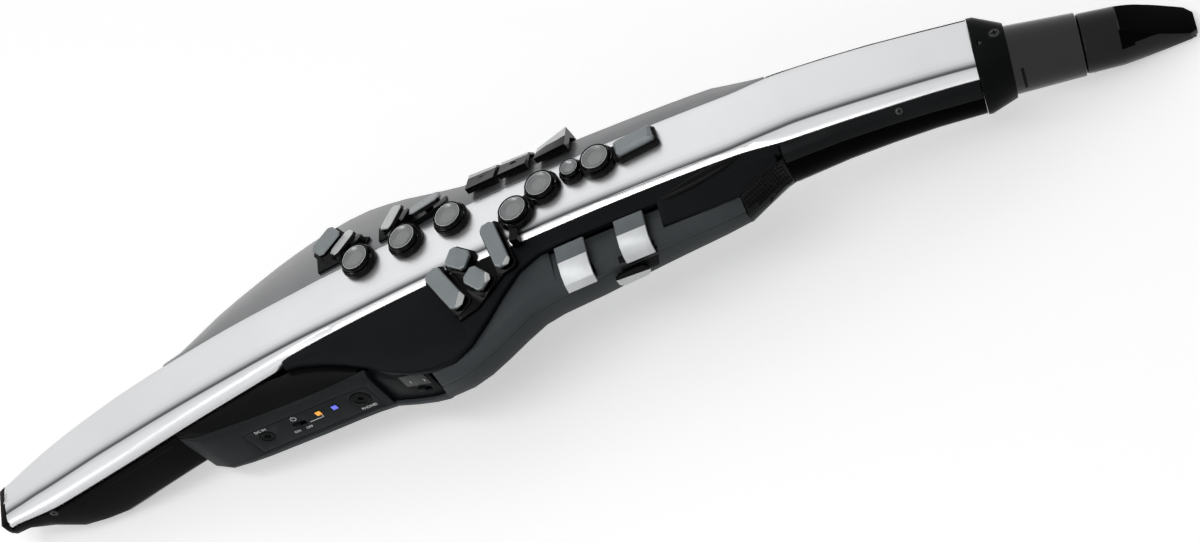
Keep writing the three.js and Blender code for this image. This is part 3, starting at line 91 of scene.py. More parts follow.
scene = bpy.context.scene
nodes = frame["nodes"]
slots = {part["node"]: part["material_slot"] for part in frame["record"]["subparts"]}
joints = {joint["child"]: joint for joint in frame["joints"]}
bodyOf = {node: item["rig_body"] for node, item in nodes.items()}


# camera, at the photograph's angle
cameraSettings = {
    "right": (0.885, -0.125, -0.449),
    "up": (0.385, 0.740, 0.552),
    "back": (0.263, -0.660, 0.703),
    "target": (0.0102, -0.0002, 0.0100),
    "distance": 2.6,
    "lens": 149.76,
    "shiftY": -0.0008,
}


def makeCamera(look):
    bpy.ops.object.camera_add()
    camera = bpy.context.object
    back = Vector(look["back"]).normalized()
    right = Vector(look["right"])
    right = (right - back * right.dot(back)).normalized()
    up = back.cross(right)
    spot = Vector(look["target"]) + back * look["distance"]
    camera.matrix_world = Matrix.Translation(spot) @ Matrix((right, up, back)).transposed().to_4x4()
    camera.data.sensor_width = 36
    camera.data.lens = look["lens"]
    camera.data.shift_y = look["shiftY"]
    camera.data.clip_end = 20
    scene.camera = camera


makeCamera(cameraSettings)


# selecting and finishing pieces
def deselectAll():
    bpy.ops.object.select_all(action="DESELECT")


def pickOnly(piece):
    deselectAll()
    piece.select_set(True)
    bpy.context.view_layer.objects.active = piece


def editMode(mode=True):
    bpy.ops.object.mode_set(mode="EDIT" if mode else "OBJECT")


def selectFaces(piece, wanted):
    editMode(False)
    for item in (*piece.data.vertices, *piece.data.edges, *piece.data.polygons):
        item.select = False
    for face in piece.data.polygons:
        face.select = wanted(face)
    editMode()
    bpy.ops.mesh.select_mode(type="FACE")


def addModifier(piece, kind, **values):
    modifier = piece.modifiers.new(kind.title(), kind)
    for name, value in values.items():
        setattr(modifier, name, value)
    pickOnly(piece)
    bpy.ops.object.modifier_apply(modifier=modifier.name)


def roundEdges(piece, width, segments=2, angle=30):
    addModifier(piece, "BEVEL", width=width, segments=segments, limit_method="ANGLE",
                angle_limit=math.radians(angle), use_clamp_overlap=True, miter_outer="MITER_ARC")


def smooth(piece, angle=32):
    pickOnly(piece)
    bpy.ops.object.shade_smooth_by_angle(angle=math.radians(angle))


def sharpen(piece, angle=40):
    smooth(piece, angle)
    addModifier(piece, "WEIGHTED_NORMAL", keep_sharp=True)


def settle(piece, body, material, place=None, angle=32, flat=False):
    if place is not None:
        piece.data.transform(place)
        piece.matrix_world = Matrix.Identity(4)
    pickOnly(piece)
    bpy.ops.object.transform_apply(location=True, rotation=True, scale=True)
    if material is not None:
        piece.data.materials.clear()
        piece.data.materials.append(material)
    if flat:
        sharpen(piece)
    else:
        smooth(piece, angle)
    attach(piece, body)
    return piece


def addFinish(piece, material, wanted):
    piece.data.materials.append(material)
    index = len(piece.data.materials) - 1
    for face in piece.data.polygons:
        if wanted(face):
            face.material_index = index


def named(name):
    piece = bpy.context.object
    piece.name = name
    piece.data.name = name
    return piece


# a copy of a solid, with its triangles merged, its flat faces cleaned and its edges rounded
def skinOf(node, edge, segments, angle=28, tidy=0.35):
    source = nodes[node]
    piece = bpy.data.objects.new(f"{node}-skin", source.data.copy())
    scene.collection.objects.link(piece)
    pickOnly(piece)
    editMode()
    bpy.ops.mesh.select_all(action="SELECT")
    bpy.ops.mesh.remove_doubles(threshold=0.00002)
    bpy.ops.mesh.dissolve_limited(angle_limit=math.radians(tidy))
    editMode(False)
    roundEdges(piece, edge, segments, angle)
    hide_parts(node)
    return piece


# materials, each with its own clouding, grain and change of gloss
def blankMaterial(name):
    material = bpy.data.materials.new(name)
    material.use_nodes = True
    tree = material.node_tree
    return material, tree.nodes, tree.links, tree.nodes["Principled BSDF"]


def ramp(made, links, source, low, high, places=(0.35, 0.65)):
    node = made.new("ShaderNodeValToRGB")
    node.color_ramp.elements[0].position = places[0]
    node.color_ramp.elements[1].position = places[1]
    node.color_ramp.elements[0].color = (*low, 1)
    node.color_ramp.elements[1].color = (*high, 1)
    links.new(source, node.inputs["Fac"])
    return node.outputs["Color"]


def scaledNoise(made, links, stretch, size, detail=4, roughness=0.6):
    spot = made.new("ShaderNodeTexCoord")
    mapping = made.new("ShaderNodeMapping")
    mapping.inputs["Scale"].default_value = stretch
    noise = made.new("ShaderNodeTexNoise")
    noise.inputs["Scale"].default_value = size
    noise.inputs["Detail"].default_value = detail
    noise.inputs["Roughness"].default_value = roughness
    links.new(spot.outputs["Object"], mapping.inputs["Vector"])
    links.new(mapping.outputs["Vector"], noise.inputs["Vector"])
    return noise.outputs["Fac"]


def addBump(made, links, shader, height, strength, distance=0.0001):
    bump = made.new("ShaderNodeBump")
    bump.inputs["Strength"].default_value = strength
    bump.inputs["Distance"].default_value = distance
    links.new(height, bump.inputs["Height"])
    links.new(bump.outputs["Normal"], shader.inputs["Normal"])


def grey(value):
    return (value, value, value)


def mouldedPlastic(name, look):
    material, made, links, shader = blankMaterial(name)
    broad = scaledNoise(made, links, (1, 1, 1), look["cloud"])
    links.new(ramp(made, links, broad, look["dark"], look["light"]), shader.inputs["Base Color"])
    fine = scaledNoise(made, links, (1, 1, 1), look.get("grain", 4200), 2)
    links.new(ramp(made, links, fine, grey(look["smooth"]), grey(look["rough"])), shader.inputs["Roughness"])
    shader.inputs["Specular IOR Level"].default_value = look.get("specular", 0.5)
    shader.inputs["Metallic"].default_value = look.get("metallic", 0)
    shader.inputs["IOR"].default_value = look.get("ior", 1.5)
    shader.inputs["Coat Weight"].default_value = look.get("coat", 0)
    shader.inputs["Coat Roughness"].default_value = 0.1
    addBump(made, links, shader, fine, look["bump"])
    return material


plasticLooks = {
    "gloss_black": {"dark": (0.0030, 0.0031, 0.0034), "light": (0.0042, 0.0044, 0.0048), "cloud": 30,
                    "grain": 1800, "smooth": 0.12, "rough": 0.20, "ior": 1.12, "bump": 0.01},
    "pod_black": {"dark": (0.0062, 0.0063, 0.0068), "light": (0.0084, 0.0086, 0.0092), "cloud": 30,
                  "grain": 1800, "smooth": 0.14, "rough": 0.24, "ior": 1.10, "bump": 0.01},
    "shell_black": {"dark": (0.0008, 0.0009, 0.0010), "light": (0.0014, 0.0015, 0.0016), "cloud": 30,
                    "grain": 1800, "smooth": 0.12, "rough": 0.20, "ior": 1.06, "bump": 0.01},
    # a darker copy of the mouthpiece black, for the beak's upward faces: painted shade
    "beak_black_painted_shade": {"dark": (0.0010, 0.0011, 0.0013), "light": (0.0016, 0.0018, 0.0020), "cloud": 40,
                   "grain": 2200, "smooth": 0.14, "rough": 0.22, "ior": 1.07, "bump": 0.008},
    "rim_black": {"dark": (0.0016, 0.0017, 0.0018), "light": (0.0026, 0.0027, 0.0029), "cloud": 60,
                  "grain": 2600, "smooth": 0.12, "rough": 0.20, "ior": 1.16, "bump": 0.01},
    "mouth_black": {"dark": (0.0016, 0.0017, 0.0019), "light": (0.0026, 0.0027, 0.0030), "cloud": 40,
                    "grain": 2200, "smooth": 0.12, "rough": 0.18, "ior": 1.30, "bump": 0.008},
    "tube_black": {"dark": (0.0020, 0.0023, 0.0025), "light": (0.0032, 0.0036, 0.0039), "cloud": 40,
                   "grain": 3600, "smooth": 0.16, "rough": 0.22, "ior": 1.42, "bump": 0.01},
    "collar_black": {"dark": (0.0040, 0.0046, 0.0050), "light": (0.0060, 0.0067, 0.0073), "cloud": 40,
                     "grain": 3600, "smooth": 0.20, "rough": 0.28, "ior": 1.11, "bump": 0.02},
    "satin_black": {"dark": (0.0048, 0.0055, 0.0063), "light": (0.0070, 0.0079, 0.0089), "cloud": 22,
                    "smooth": 0.34, "rough": 0.46, "ior": 1.14, "bump": 0.06},
    "trim_black": {"dark": (0.0095, 0.0105, 0.0113), "light": (0.0127, 0.0139, 0.0149), "cloud": 22,
                   "smooth": 0.30, "rough": 0.40, "ior": 1.14, "bump": 0.04},
    "grille_black": {"dark": (0.0050, 0.0053, 0.0057), "light": (0.0075, 0.0079, 0.0084), "cloud": 60,
                     "smooth": 0.30, "rough": 0.42, "ior": 1.20, "bump": 0.04},
    "charcoal": {"dark": (0.0190, 0.0220, 0.0235), "light": (0.0235, 0.0268, 0.0288), "cloud": 25,
                 "smooth": 0.42, "rough": 0.55, "ior": 1.14, "bump": 0.08},
    "label_plate": {"dark": (0.0150, 0.0170, 0.0185), "light": (0.0195, 0.0215, 0.0230), "cloud": 80,
                    "smooth": 0.32, "rough": 0.44, "ior": 1.35, "bump": 0.03},
    "warm_gray": {"dark": (0.0540, 0.0605, 0.0645), "light": (0.0640, 0.0715, 0.0760), "cloud": 20,
                  "smooth": 0.40, "rough": 0.52, "ior": 1.22, "bump": 0.08},
    "key_gray": {"dark": (0.205, 0.228, 0.236), "light": (0.240, 0.265, 0.274), "cloud": 60, "grain": 5200,
                 "smooth": 0.26, "rough": 0.36, "ior": 1.5, "bump": 0.03, "metallic": 0.30},
    # a lighter copy of key gray, for key tops that catch the light: painted light
    "key_light": {"dark": (0.50, 0.51, 0.512), "light": (0.56, 0.57, 0.572), "cloud": 60, "grain": 5200,
                  "smooth": 0.28, "rough": 0.38, "bump": 0.02, "metallic": 0.30},
    # near white: a painted highlight on the pinky keys' facets, and the silver strip of the third palm key
    "silver_and_painted_highlight": {"dark": (0.70, 0.715, 0.72), "light": (0.78, 0.79, 0.795), "cloud": 60, "grain": 5200,
                     "smooth": 0.26, "rough": 0.36, "bump": 0.02, "metallic": 0.2},
    "soft_black": {"dark": (0.0026, 0.0028, 0.0030), "light": (0.0042, 0.0045, 0.0048), "cloud": 40,
                   "grain": 5000, "smooth": 0.16, "rough": 0.26, "ior": 1.38, "bump": 0.02},
    "far_gray": {"dark": (0.150, 0.153, 0.158), "light": (0.185, 0.188, 0.193), "cloud": 18, "grain": 6000,
                 "smooth": 0.30, "rough": 0.38, "bump": 0.02, "metallic": 0.45, "coat": 0.6},
    "palm_gray": {"dark": (0.098, 0.113, 0.122), "light": (0.122, 0.138, 0.148), "cloud": 60, "grain": 5200,
                  "smooth": 0.28, "rough": 0.38, "ior": 1.5, "bump": 0.03, "metallic": 0.25},
    "board": {"dark": (0.006, 0.055, 0.022), "light": (0.010, 0.080, 0.034), "cloud": 90, "grain": 2400,
              "smooth": 0.30, "rough": 0.42, "specular": 0.4, "bump": 0.05},
    "cells": {"dark": (0.030, 0.075, 0.180), "light": (0.045, 0.100, 0.230), "cloud": 60, "grain": 2400,
              "smooth": 0.30, "rough": 0.42, "specular": 0.4, "bump": 0.05},
}


def paintedMetal(name, look):
    material, made, links, shader = blankMaterial(name)
    brushed = scaledNoise(made, links, look["stretch"], look["grain"], 3)
    broad = scaledNoise(made, links, (1, 1, 1), look["cloud"])
    colour = ramp(made, links, broad, look["dark"], look["light"])
    # a shade layer mixes a dark colour into the base colour: painted shade
    if look.get("shadeLayer"):
        shade = made.new("ShaderNodeAttribute")
        shade.attribute_name = look["shadeLayer"]
        mix = made.new("ShaderNodeMix")
        mix.data_type = "RGBA"
        mix.inputs["B"].default_value = (*look["shadow"], 1)
        links.new(shade.outputs["Fac"], mix.inputs["Factor"])
        links.new(colour, mix.inputs["A"])
        colour = mix.outputs["Result"]
    links.new(colour, shader.inputs["Base Color"])
    gloss = ramp(made, links, brushed, grey(look["smooth"]), grey(look["rough"]))
    links.new(gloss, shader.inputs["Roughness"])
    shader.inputs["Metallic"].default_value = look["metallic"]
    addBump(made, links, shader, brushed, look["bump"])
    return material


metalLooks = {
    # the silver front gets painted shade from its shade layer, darkest in the crease and growing towards the
    # lip's edge
    "silver_front": {"dark": (0.66, 0.665, 0.675), "light": (0.71, 0.715, 0.725), "cloud": 9, "grain": 6500,
                     "stretch": (0.03, 1, 1), "smooth": 0.31, "rough": 0.33, "metallic": 0.88, "bump": 0.001,
                     "shadeLayer": "paintedPanelShade", "shadow": (0.055, 0.058, 0.062)},
    "palm_silver": {"dark": (0.56, 0.575, 0.58), "light": (0.64, 0.655, 0.66), "cloud": 60, "grain": 5200,
                    "stretch": (1, 0.06, 0.06), "smooth": 0.40, "rough": 0.48, "metallic": 0.45,
                    "bump": 0.01},
    "ring_metal": {"dark": (0.58, 0.59, 0.60), "light": (0.72, 0.73, 0.74), "cloud": 80, "grain": 1500,
                   "stretch": (1, 1, 1), "smooth": 0.14, "rough": 0.24, "metallic": 1.0, "bump": 0.02},
    "screw_steel": {"dark": (0.030, 0.031, 0.033), "light": (0.055, 0.056, 0.060), "cloud": 500,
                    "grain": 2500, "stretch": (1, 1, 1), "smooth": 0.25, "rough": 0.42, "metallic": 1.0,
                    "bump": 0.05},
}


def pearlMaterial(look):
    material, made, links, shader = blankMaterial("pearl_keys")
    clouds = scaledNoise(made, links, (1, 1, 1), look["cloud"], 5, 0.65)
    waves = scaledNoise(made, links, (1, 0.4, 1), look["grain"], 3, 0.7)
    tint = made.new("ShaderNodeValToRGB")
    tint.color_ramp.elements[0].position = 0.25
    tint.color_ramp.elements[1].position = 0.75
    tint.color_ramp.elements[0].color = (*look["cool"], 1)
    tint.color_ramp.elements[1].color = (*look["warm"], 1)
    middle = tint.color_ramp.elements.new(0.5)
    middle.color = (*look["middle"], 1)
    links.new(clouds, tint.inputs["Fac"])
    links.new(tint.outputs["Color"], shader.inputs["Base Color"])
    links.new(ramp(made, links, waves, grey(look["smooth"]), grey(look["rough"])), shader.inputs["Roughness"])
    shader.inputs["Metallic"].default_value = look["metallic"]
    addBump(made, links, shader, waves, look["bump"])
    return material


pearlLook = {"cloud": 130, "grain": 900, "cool": (0.150, 0.158, 0.166), "middle": (0.190, 0.195, 0.196),
             "warm": (0.176, 0.172, 0.177), "smooth": 0.22, "rough": 0.30, "metallic": 0.80,
             "bump": 0.01}


def lampMaterial(name, look):
    material, made, links, shader = blankMaterial(name)
    glow = scaledNoise(made, links, (1, 1, 1), 700)
    colour = ramp(made, links, glow, look["dark"], look["light"])
    links.new(colour, shader.inputs["Base Color"])
    links.new(colour, shader.inputs["Emission Color"])
    shader.inputs["Emission Strength"].default_value = look["strength"]
    shader.inputs["Roughness"].default_value = 0.2
    return material


lampLooks = {
    "amber_lens": {"dark": (0.85, 0.33, 0.02), "light": (1.0, 0.46, 0.06), "strength": 0.55},
    "blue_lens": {"dark": (0.10, 0.12, 0.80), "light": (0.20, 0.22, 0.95), "strength": 0.6},
}

finishes = {name: mouldedPlastic(name, look) for name, look in plasticLooks.items()}
finishes.update({name: paintedMetal(name, look) for name, look in metalLooks.items()})
finishes.update({name: lampMaterial(name, look) for name, look in lampLooks.items()})
finishes["pearl_keys"] = pearlMaterial(pearlLook)
finishes["label_print"] = mouldedPlastic("label_print", {
    "dark": (0.74, 0.75, 0.76), "light": (0.84, 0.85, 0.86), "cloud": 300, "grain": 2000,
    "smooth": 0.45, "rough": 0.6, "specular": 0.3, "bump": 0.02})
# near black: painted shade in holes, recesses and wells, and the colour of plain black parts
finishes["black_and_painted_shade"] = mouldedPlastic("black_and_painted_shade", {
    "dark": (0.0008, 0.0008, 0.0009), "light": (0.0016, 0.0016, 0.0018), "cloud": 100, "grain": 2000,
    "smooth": 0.5, "rough": 0.7, "specular": 0.1, "bump": 0.02})
print("materials:", len(finishes))

nodeFinish = {"far_side_cover": "far_gray", "wing_housing": "warm_gray", "rear_cover": "warm_gray",
              "neck_tube": "tube_black", "neck_collar": "collar_black", "neck_side_trim": "trim_black",
              "reed": "soft_black", "speaker_grille": "grille_black", "near_pod": "pod_black",
              "neck_shell": "shell_black", "palm_key_3": "silver_and_painted_highlight"}
for name in ("key_base_1", "key_base_2", "key_base_3", "key_base_pair", "key_base_triple", "pinky_base"):
    nodeFinish[name] = "rim_black"
for node, item in nodes.items():
    item.data.materials.clear()
    item.data.materials.append(finishes[nodeFinish.get(node, slots[node])])


# the arch of the body: a place by its distance along, across and below the front, in metres
bodyLength = 0.578
arch = {"tailCrown": 0.577 * bodyLength, "crown": 0.607 * bodyLength, "neck": 0.789 * bodyLength,
        "bend": 1.18, "neckBend": 2.52, "origin": (-0.335794, -0.000224, 0.076), "length": bodyLength,
        "step": 0.001}


def archPoint(x, y, depth):
    fromCrown = min(0, x - arch["tailCrown"]) + max(0, x - arch["crown"])
    pastNeck = max(0, x - arch["neck"])
    height = -fromCrown ** 2 / (2 * arch["bend"]) - pastNeck ** 2 / (2 * arch["neckBend"])
    slope = math.atan(-fromCrown / arch["bend"] - pastNeck / arch["neckBend"])
    spot = Vector((x + depth * math.sin(slope), y, height - depth * math.cos(slope)))
    return spot + Vector(arch["origin"])


def seatOn(share, y, depth=0.0, yaw=0.0, roll=0.0):
    x = share * arch["length"]
    ahead = (archPoint(x + arch["step"], 0, 0) - archPoint(x - arch["step"], 0, 0)).normalized()
    slope = math.atan2(ahead.z, ahead.x)
    turn = Matrix.Rotation(-slope, 4, "Y") @ Matrix.Rotation(roll, 4, "X") @ Matrix.Rotation(yaw, 4, "Z")
    return Matrix.Translation(archPoint(x, y, depth)) @ turn


def facing(spot, out, along=(1, 0, 0)):
    out = Vector(out).normalized()
    across = out.cross(Vector(along)).normalized()
    ahead = across.cross(out)
    return Matrix.Translation(spot) @ Matrix((ahead, across, out)).transposed().to_4x4()


def follow(pairs, place):
    if place <= pairs[0][0]:
        return pairs[0][1]
    if place >= pairs[-1][0]:
        return pairs[-1][1]
    last = len(pairs) - 1
    rise = [(pairs[i + 1][1] - pairs[i][1]) / (pairs[i + 1][0] - pairs[i][0]) for i in range(last)]

    def tilt(i):
        if i in (0, last) or rise[i - 1] * rise[i] <= 0:
            return 0
        return 2 * rise[i - 1] * rise[i] / (rise[i - 1] + rise[i])

    i = max(k for k in range(last) if pairs[k][0] <= place)
    span = pairs[i + 1][0] - pairs[i][0]
    t = (place - pairs[i][0]) / span
    return ((2 * t ** 3 - 3 * t ** 2 + 1) * pairs[i][1] + (t ** 3 - 2 * t ** 2 + t) * span * tilt(i)
            + (3 * t ** 2 - 2 * t ** 3) * pairs[i + 1][1] + (t ** 3 - t ** 2) * span * tilt(i + 1))


# front panel: a sheet that follows the arch, with a crease and a rolled lip along its near edge, and painted
# shade in the crease and on the lip
panel = {
    "start": -0.0112, "halfWidth": 0.021, "stations": 150, "wall": 0.0014,
    "widths": [(-0.0112, 0.62), (0.015, 0.73), (0.05, 0.86), (0.09, 0.94), (0.15, 1), (0.25, 0.98),
               (0.36, 0.9), (0.6, 0.92), (0.7, 0.93), (0.78, 0.95), (0.83, 1.06), (0.9, 1.03), (1, 0.95)],
    "creases": [(-0.0112, 0.34), (0.03, 0.44), (0.114, 0.52), (0.25, 0.41), (0.42, 0.2), (0.6, 0.18),
                (0.7, 0.14), (0.77, 0.16), (0.84, 0.42), (1, 0.36)],
    "curls": [(-0.0112, 0.3), (0.05, 1), (0.308, 1), (0.32, 0), (1, 0)],
    "curlWidth": 0.0018, "tuck": 0.0016, "curlDepth": 0.0041,
    "lipDrop": 0.0026, "round": 0.0012, "edge": 0.0042, "lead": 0.0040, "leadShare": 0.55,
    # across the crease: how far in from it, how deep, and how much painted shade it gets
    "fold": [(0.0075, 0, 0), (0.0042, 0.00008, 0.10), (0.0022, 0.0003, 0.42), (0.0009, 0.0006, 0.86),
             (0, 0.00085, 1.0), (-0.0007, 0.0007, 0.72), (-0.0014, 0.00048, 0.22)],
}


def panelSection(share):
    w = panel["halfWidth"] * follow(panel["widths"], share)
    crease = w - panel["halfWidth"] * follow(panel["creases"], share)
    bend = follow(panel["curls"], share)
    lip = w + panel["curlWidth"] * bend
    drop = panel["lipDrop"]
    r = panel["round"]
    run = w - crease
    lead = min(panel["lead"], run * panel["leadShare"])
    fold = [(-crease + away, depth, dark) for away, depth, dark in panel["fold"]]
    # each point: across, below the front, and how much painted shade it gets; the lip's points get more
    # towards its edge
    return [
        (w, panel["edge"], 0), (w, drop - r, 0), (w - r * 0.3, r * 0.62, 0), (w - r, r / 2.2, 0),
        (w * 0.75, 0.0002, 0), (w * 0.4, 0, 0), (0.1 * w, 0, 0), *fold,
        (-crease - lead, 0.0006 + 0.0004 * lead / panel["lead"], 0.0),
        (-w + r * 1.8, drop - r * 1.15, 0.0), (-w + r * 0.7, drop - r * 0.45, 0.02),
        (-(w + lip) / 2, drop + panel["curlDepth"] * bend / 3, 0.10),
        (-lip, drop + r + panel["curlDepth"] * bend / 2, 0.25),
        (-lip + panel["tuck"] * bend, panel["edge"] + panel["curlDepth"] * bend, 0.4),
    ]


def makePanel():
    across = len(panelSection(0))
    count = panel["stations"]
    deselectAll()
    bpy.ops.mesh.primitive_grid_add(x_subdivisions=count, y_subdivisions=across - 1, size=1)
    piece = named("front-panel-sheet")
    columns = sorted({round(v.co.x, 6) for v in piece.data.vertices})
    rows = sorted({round(v.co.y, 6) for v in piece.data.vertices})
    # the painted shade of each point, read by the silver front's shade layer
    shade = piece.data.attributes.new("paintedPanelShade", "FLOAT", "POINT")
    for vertex in piece.data.vertices:
        step = columns.index(round(vertex.co.x, 6)) / (len(columns) - 1)
        share = panel["start"] + (1 - panel["start"]) * step
        y, depth, dark = panelSection(share)[len(rows) - 1 - rows.index(round(vertex.co.y, 6))]
        vertex.co = archPoint(share * bodyLength, y, depth)
        shade.data[vertex.index].value = dark
    addModifier(piece, "SOLIDIFY", thickness=panel["wall"], offset=-1)
    settle(piece, "body", finishes["silver_front"], angle=50)
    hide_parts("front_panel")


makePanel()
print("front panel made")


# shells, dressed from their solids, with the width that each one's edges are rounded to
shells = {
    "threeSteps": 0.0005,  # from this width up, a rounding has three steps
    "edges": {
        "near_deck": 0.0004, "near_pod": 0.0003, "jack_block": 0.0010, "jack_plate": 0.0003,
        "control_plate": 0.0003, "wing_housing": 0.0004, "far_side_cover": 0.0004, "tail_shell": 0.0004,
        "battery_door": 0.0004, "neck_side_trim": 0.0004, "neck_shell": 0.0003, "rear_cover": 0.0004,
        "neck_collar": 0.0006, "neck_tube": 0.0007, "reed": 0.00025, "speaker_grille": 0.0003,
        "thumb_hook": 0.0012, "thumb_rest": 0.0008, "strap_ring": 0.0008, "octave_key_down": 0.0006,
        "octave_key_up": 0.0006, "power_slider": 0.0003, "mode_slider": 0.0003, "key_base_1": 0.0004,
        "key_base_2": 0.0004, "key_base_3": 0.0004, "key_base_pair": 0.0004, "key_base_triple": 0.0004,
        "pinky_base": 0.0004, "far_lower_base_1": 0.0004, "far_lower_base_2": 0.0004,
        **{f"pinky_key_{count}": 0.0006 for count in (1, 2, 3, 4)},
        **{f"far_lower_key_{count}": 0.0006 for count in (1, 2, 3, 4)},
        **{f"far_upper_key_{count}": 0.0005 for count in (1, 2, 3)},
        "front_plate_key": 0.0006, "palm_key_3": 0.0005,
    },
}

skins = {}
for node, edge in shells["edges"].items():
    skin = skinOf(node, edge, 3 if edge >= shells["threeSteps"] else 2)
    finish = finishes[nodeFinish.get(node, slots[node])]
    skins[node] = settle(skin, bodyOf[node], finish, flat="key" in node)
print("shells dressed:", len(skins))


# palm keys: a gray saddle and a silver lever below it
palm = {"edge": 0.0004, "segments": 2, "silverBelow": -0.0385}
for name in ("palm_key_1", "palm_key_2"):
    skin = skinOf(name, palm["edge"], palm["segments"])
    piece = settle(skin, bodyOf[name], finishes["palm_gray"])
    addFinish(piece, finishes["palm_silver"], lambda face: face.center.y < palm["silverBelow"])
    skins[name] = piece


# turned pieces, drawn up a profile of radius and height from a disc
def turnUp(name, profile, sides=40):
    deselectAll()
    bpy.ops.mesh.primitive_circle_add(vertices=sides, radius=profile[0][0], fill_type="NGON",
                                      location=(0, 0, profile[0][1]))
    piece = named(name)
    bpy.ops.object.transform_apply(location=True, rotation=False, scale=False)
    editMode()
    bpy.ops.mesh.select_mode(type="FACE")
    bpy.ops.mesh.select_all(action="SELECT")
    for (radius, height), (nextRadius, nextHeight) in zip(profile, profile[1:]):
        bpy.ops.mesh.extrude_region_move(TRANSFORM_OT_translate={"value": (0, 0, nextHeight - height)})
        ratio = nextRadius / radius
        bpy.ops.transform.resize(value=(ratio, ratio, 1), center_override=(0, 0, nextHeight))
    bpy.ops.mesh.select_all(action="SELECT")
    bpy.ops.mesh.normals_make_consistent(inside=False)
    editMode(False)
    return piece


# a profile drawn for a radius of one, with its heights in metres
def sized(profile, radius, lift=0):
    return [(radius * part, lift + height) for part, height in profile]


def makeBox(name, size, spot=(0, 0, 0), edge=0.0, segments=2):
    deselectAll()
    bpy.ops.mesh.primitive_cube_add(size=1, location=spot)
    piece = named(name)
    piece.scale = size
    bpy.ops.object.transform_apply(location=True, rotation=False, scale=True)
    if edge:
        roundEdges(piece, edge, segments)
    return piece


def cutWith(piece, tool):
    addModifier(piece, "BOOLEAN", operation="DIFFERENCE", solver="EXACT", object=tool)
    bpy.data.objects.remove(tool)


def sliceOff(piece, spot, out):
    pickOnly(piece)
    editMode()
    bpy.ops.mesh.select_all(action="SELECT")
    bpy.ops.mesh.bisect(plane_co=spot, plane_no=out, use_fill=True, clear_outer=True)
    editMode(False)


# round keys: a black cap with a rounded rim, a thin bright ring and a hollow pearl disc
roundKeys = {
    "places": [("round_key_1", 0.4135, 0.014, 0.00835), ("round_key_2", 0.463, 0.012, 0.00835),
               ("round_key_3", 0.5105, 0.012, 0.00835), ("round_key_4", 0.573, -0.0035, 0.00835),
               ("round_key_5", 0.6015, 0.0055, 0.00835), ("round_key_6", 0.657, 0.007, 0.00835),
               ("round_key_7", 0.632, 0.0075, 0.0054)],
    "foot": 0.0034, "stem": 0.0024, "stemFoot": -0.005, "sides": 64,
    "cap": [(0.97, 0), (1.0, 0.0004), (1.0, 0.0023), (0.985, 0.0028), (0.955, 0.0031), (0.93, 0.0032),
            (0.905, 0.0031), (0.885, 0.0027), (0.875, 0.0016), (0.865, 0.0009), (0.3, 0.0008)],
    "ring": [(0.868, 0.0017), (0.868, 0.0026), (0.855, 0.00285), (0.835, 0.00285), (0.822, 0.0026),
             (0.816, 0.0012), (0.3, 0.0011)],
    "dish": [(0.81, 0.0018), (0.81, 0.00262), (0.795, 0.00275), (0.72, 0.00245), (0.6, 0.00208),
             (0.45, 0.00172), (0.3, 0.0015), (0.15, 0.00138), (0.03, 0.00135)],
}


def makeRoundKey(node, share, y, radius):
    place = seatOn(share, y)
    name = node.replace("_", "-")
    foot = roundKeys["foot"]
    stem = [(roundKeys["stem"], roundKeys["stemFoot"]), (roundKeys["stem"], foot)]
    parts = [("cap", stem + sized(roundKeys["cap"], radius, foot), "gloss_black", "rim_black", 32),
             ("ring", sized(roundKeys["ring"], radius, foot), "ring_metal", "ring_metal", 32),
             ("pearl", sized(roundKeys["dish"], radius, foot), "pearl_keys", "pearl_keys", 60)]
    for part, profile, slot, finish, angle in parts:
        piece = turnUp(f"{name}-{part}", profile, roundKeys["sides"])
        settle(piece, node, finishes[finish], place, angle)
        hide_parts(node)


for node, share, y, radius in roundKeys["places"]:
    makeRoundKey(node, share, y, radius)
print("round keys made")


# plate keys: the near keys have a facet at their lower end with a painted highlight, the far keys have black
# sides, and some far keys have painted light on their tops
pinkyKeys = {
    "roll": math.atan(0.27), "out": (0.62, 0.42, 0.66),
    "places": [("pinky_key_1", 0.4939, -0.0307, -0.002, -66, 0.027, 0.0098, 0.0034),
               ("pinky_key_3", 0.5251, -0.033, -0.0014, -50, 0.0134, 0.0104, 0.0024),
               ("pinky_key_4", 0.5497, -0.020, -0.0049, -82, 0.0265, 0.0086, 0.0022)],
}


def makeFacet(node, share, y, depth, yaw, length, width, reach):
    place = seatOn(share, y, depth, math.radians(yaw), pinkyKeys["roll"])
    out = Vector(pinkyKeys["out"]).normalized()
    spot = Vector((length / 2, width / 2, 0)) - out * reach
    piece = skins[node]
    turned = place.to_3x3() @ out
    sliceOff(piece, place @ spot, turned)
    # the cut facet gets a near white colour: painted highlight
    addFinish(piece, finishes["silver_and_painted_highlight"], lambda face: face.normal.dot(turned) > 0.995)
    sharpen(piece)


farKeys = {
    # far lower keys 2 and 3 get the lighter copy of key gray on their tilted tops: painted light
    "lower": [("far_lower_key_1", 0, 0, "key_gray"), ("far_lower_key_2", 8, 0.0007, "key_light"),
              ("far_lower_key_3", 8, 0.0007, "key_light"), ("far_lower_key_4", 5, 0.0004, "key_gray")],
    "toward": (0.3, -0.7, 0.65), "capDepth": 0.0028, "skinDepth": 0.0015,
    "footDepth": 0.001, "stemRoom": 0.0005,
    "upper": ["far_upper_key_1", "far_upper_key_2", "far_upper_key_3"], "split": 0.5,
}


def topFacing(node):
    faces = sorted(skins[node].data.polygons, key=lambda face: -face.area)
    return next(face.normal.copy() for face in faces if face.normal.z > 0.75)


for place in pinkyKeys["places"]:
    makeFacet(*place)


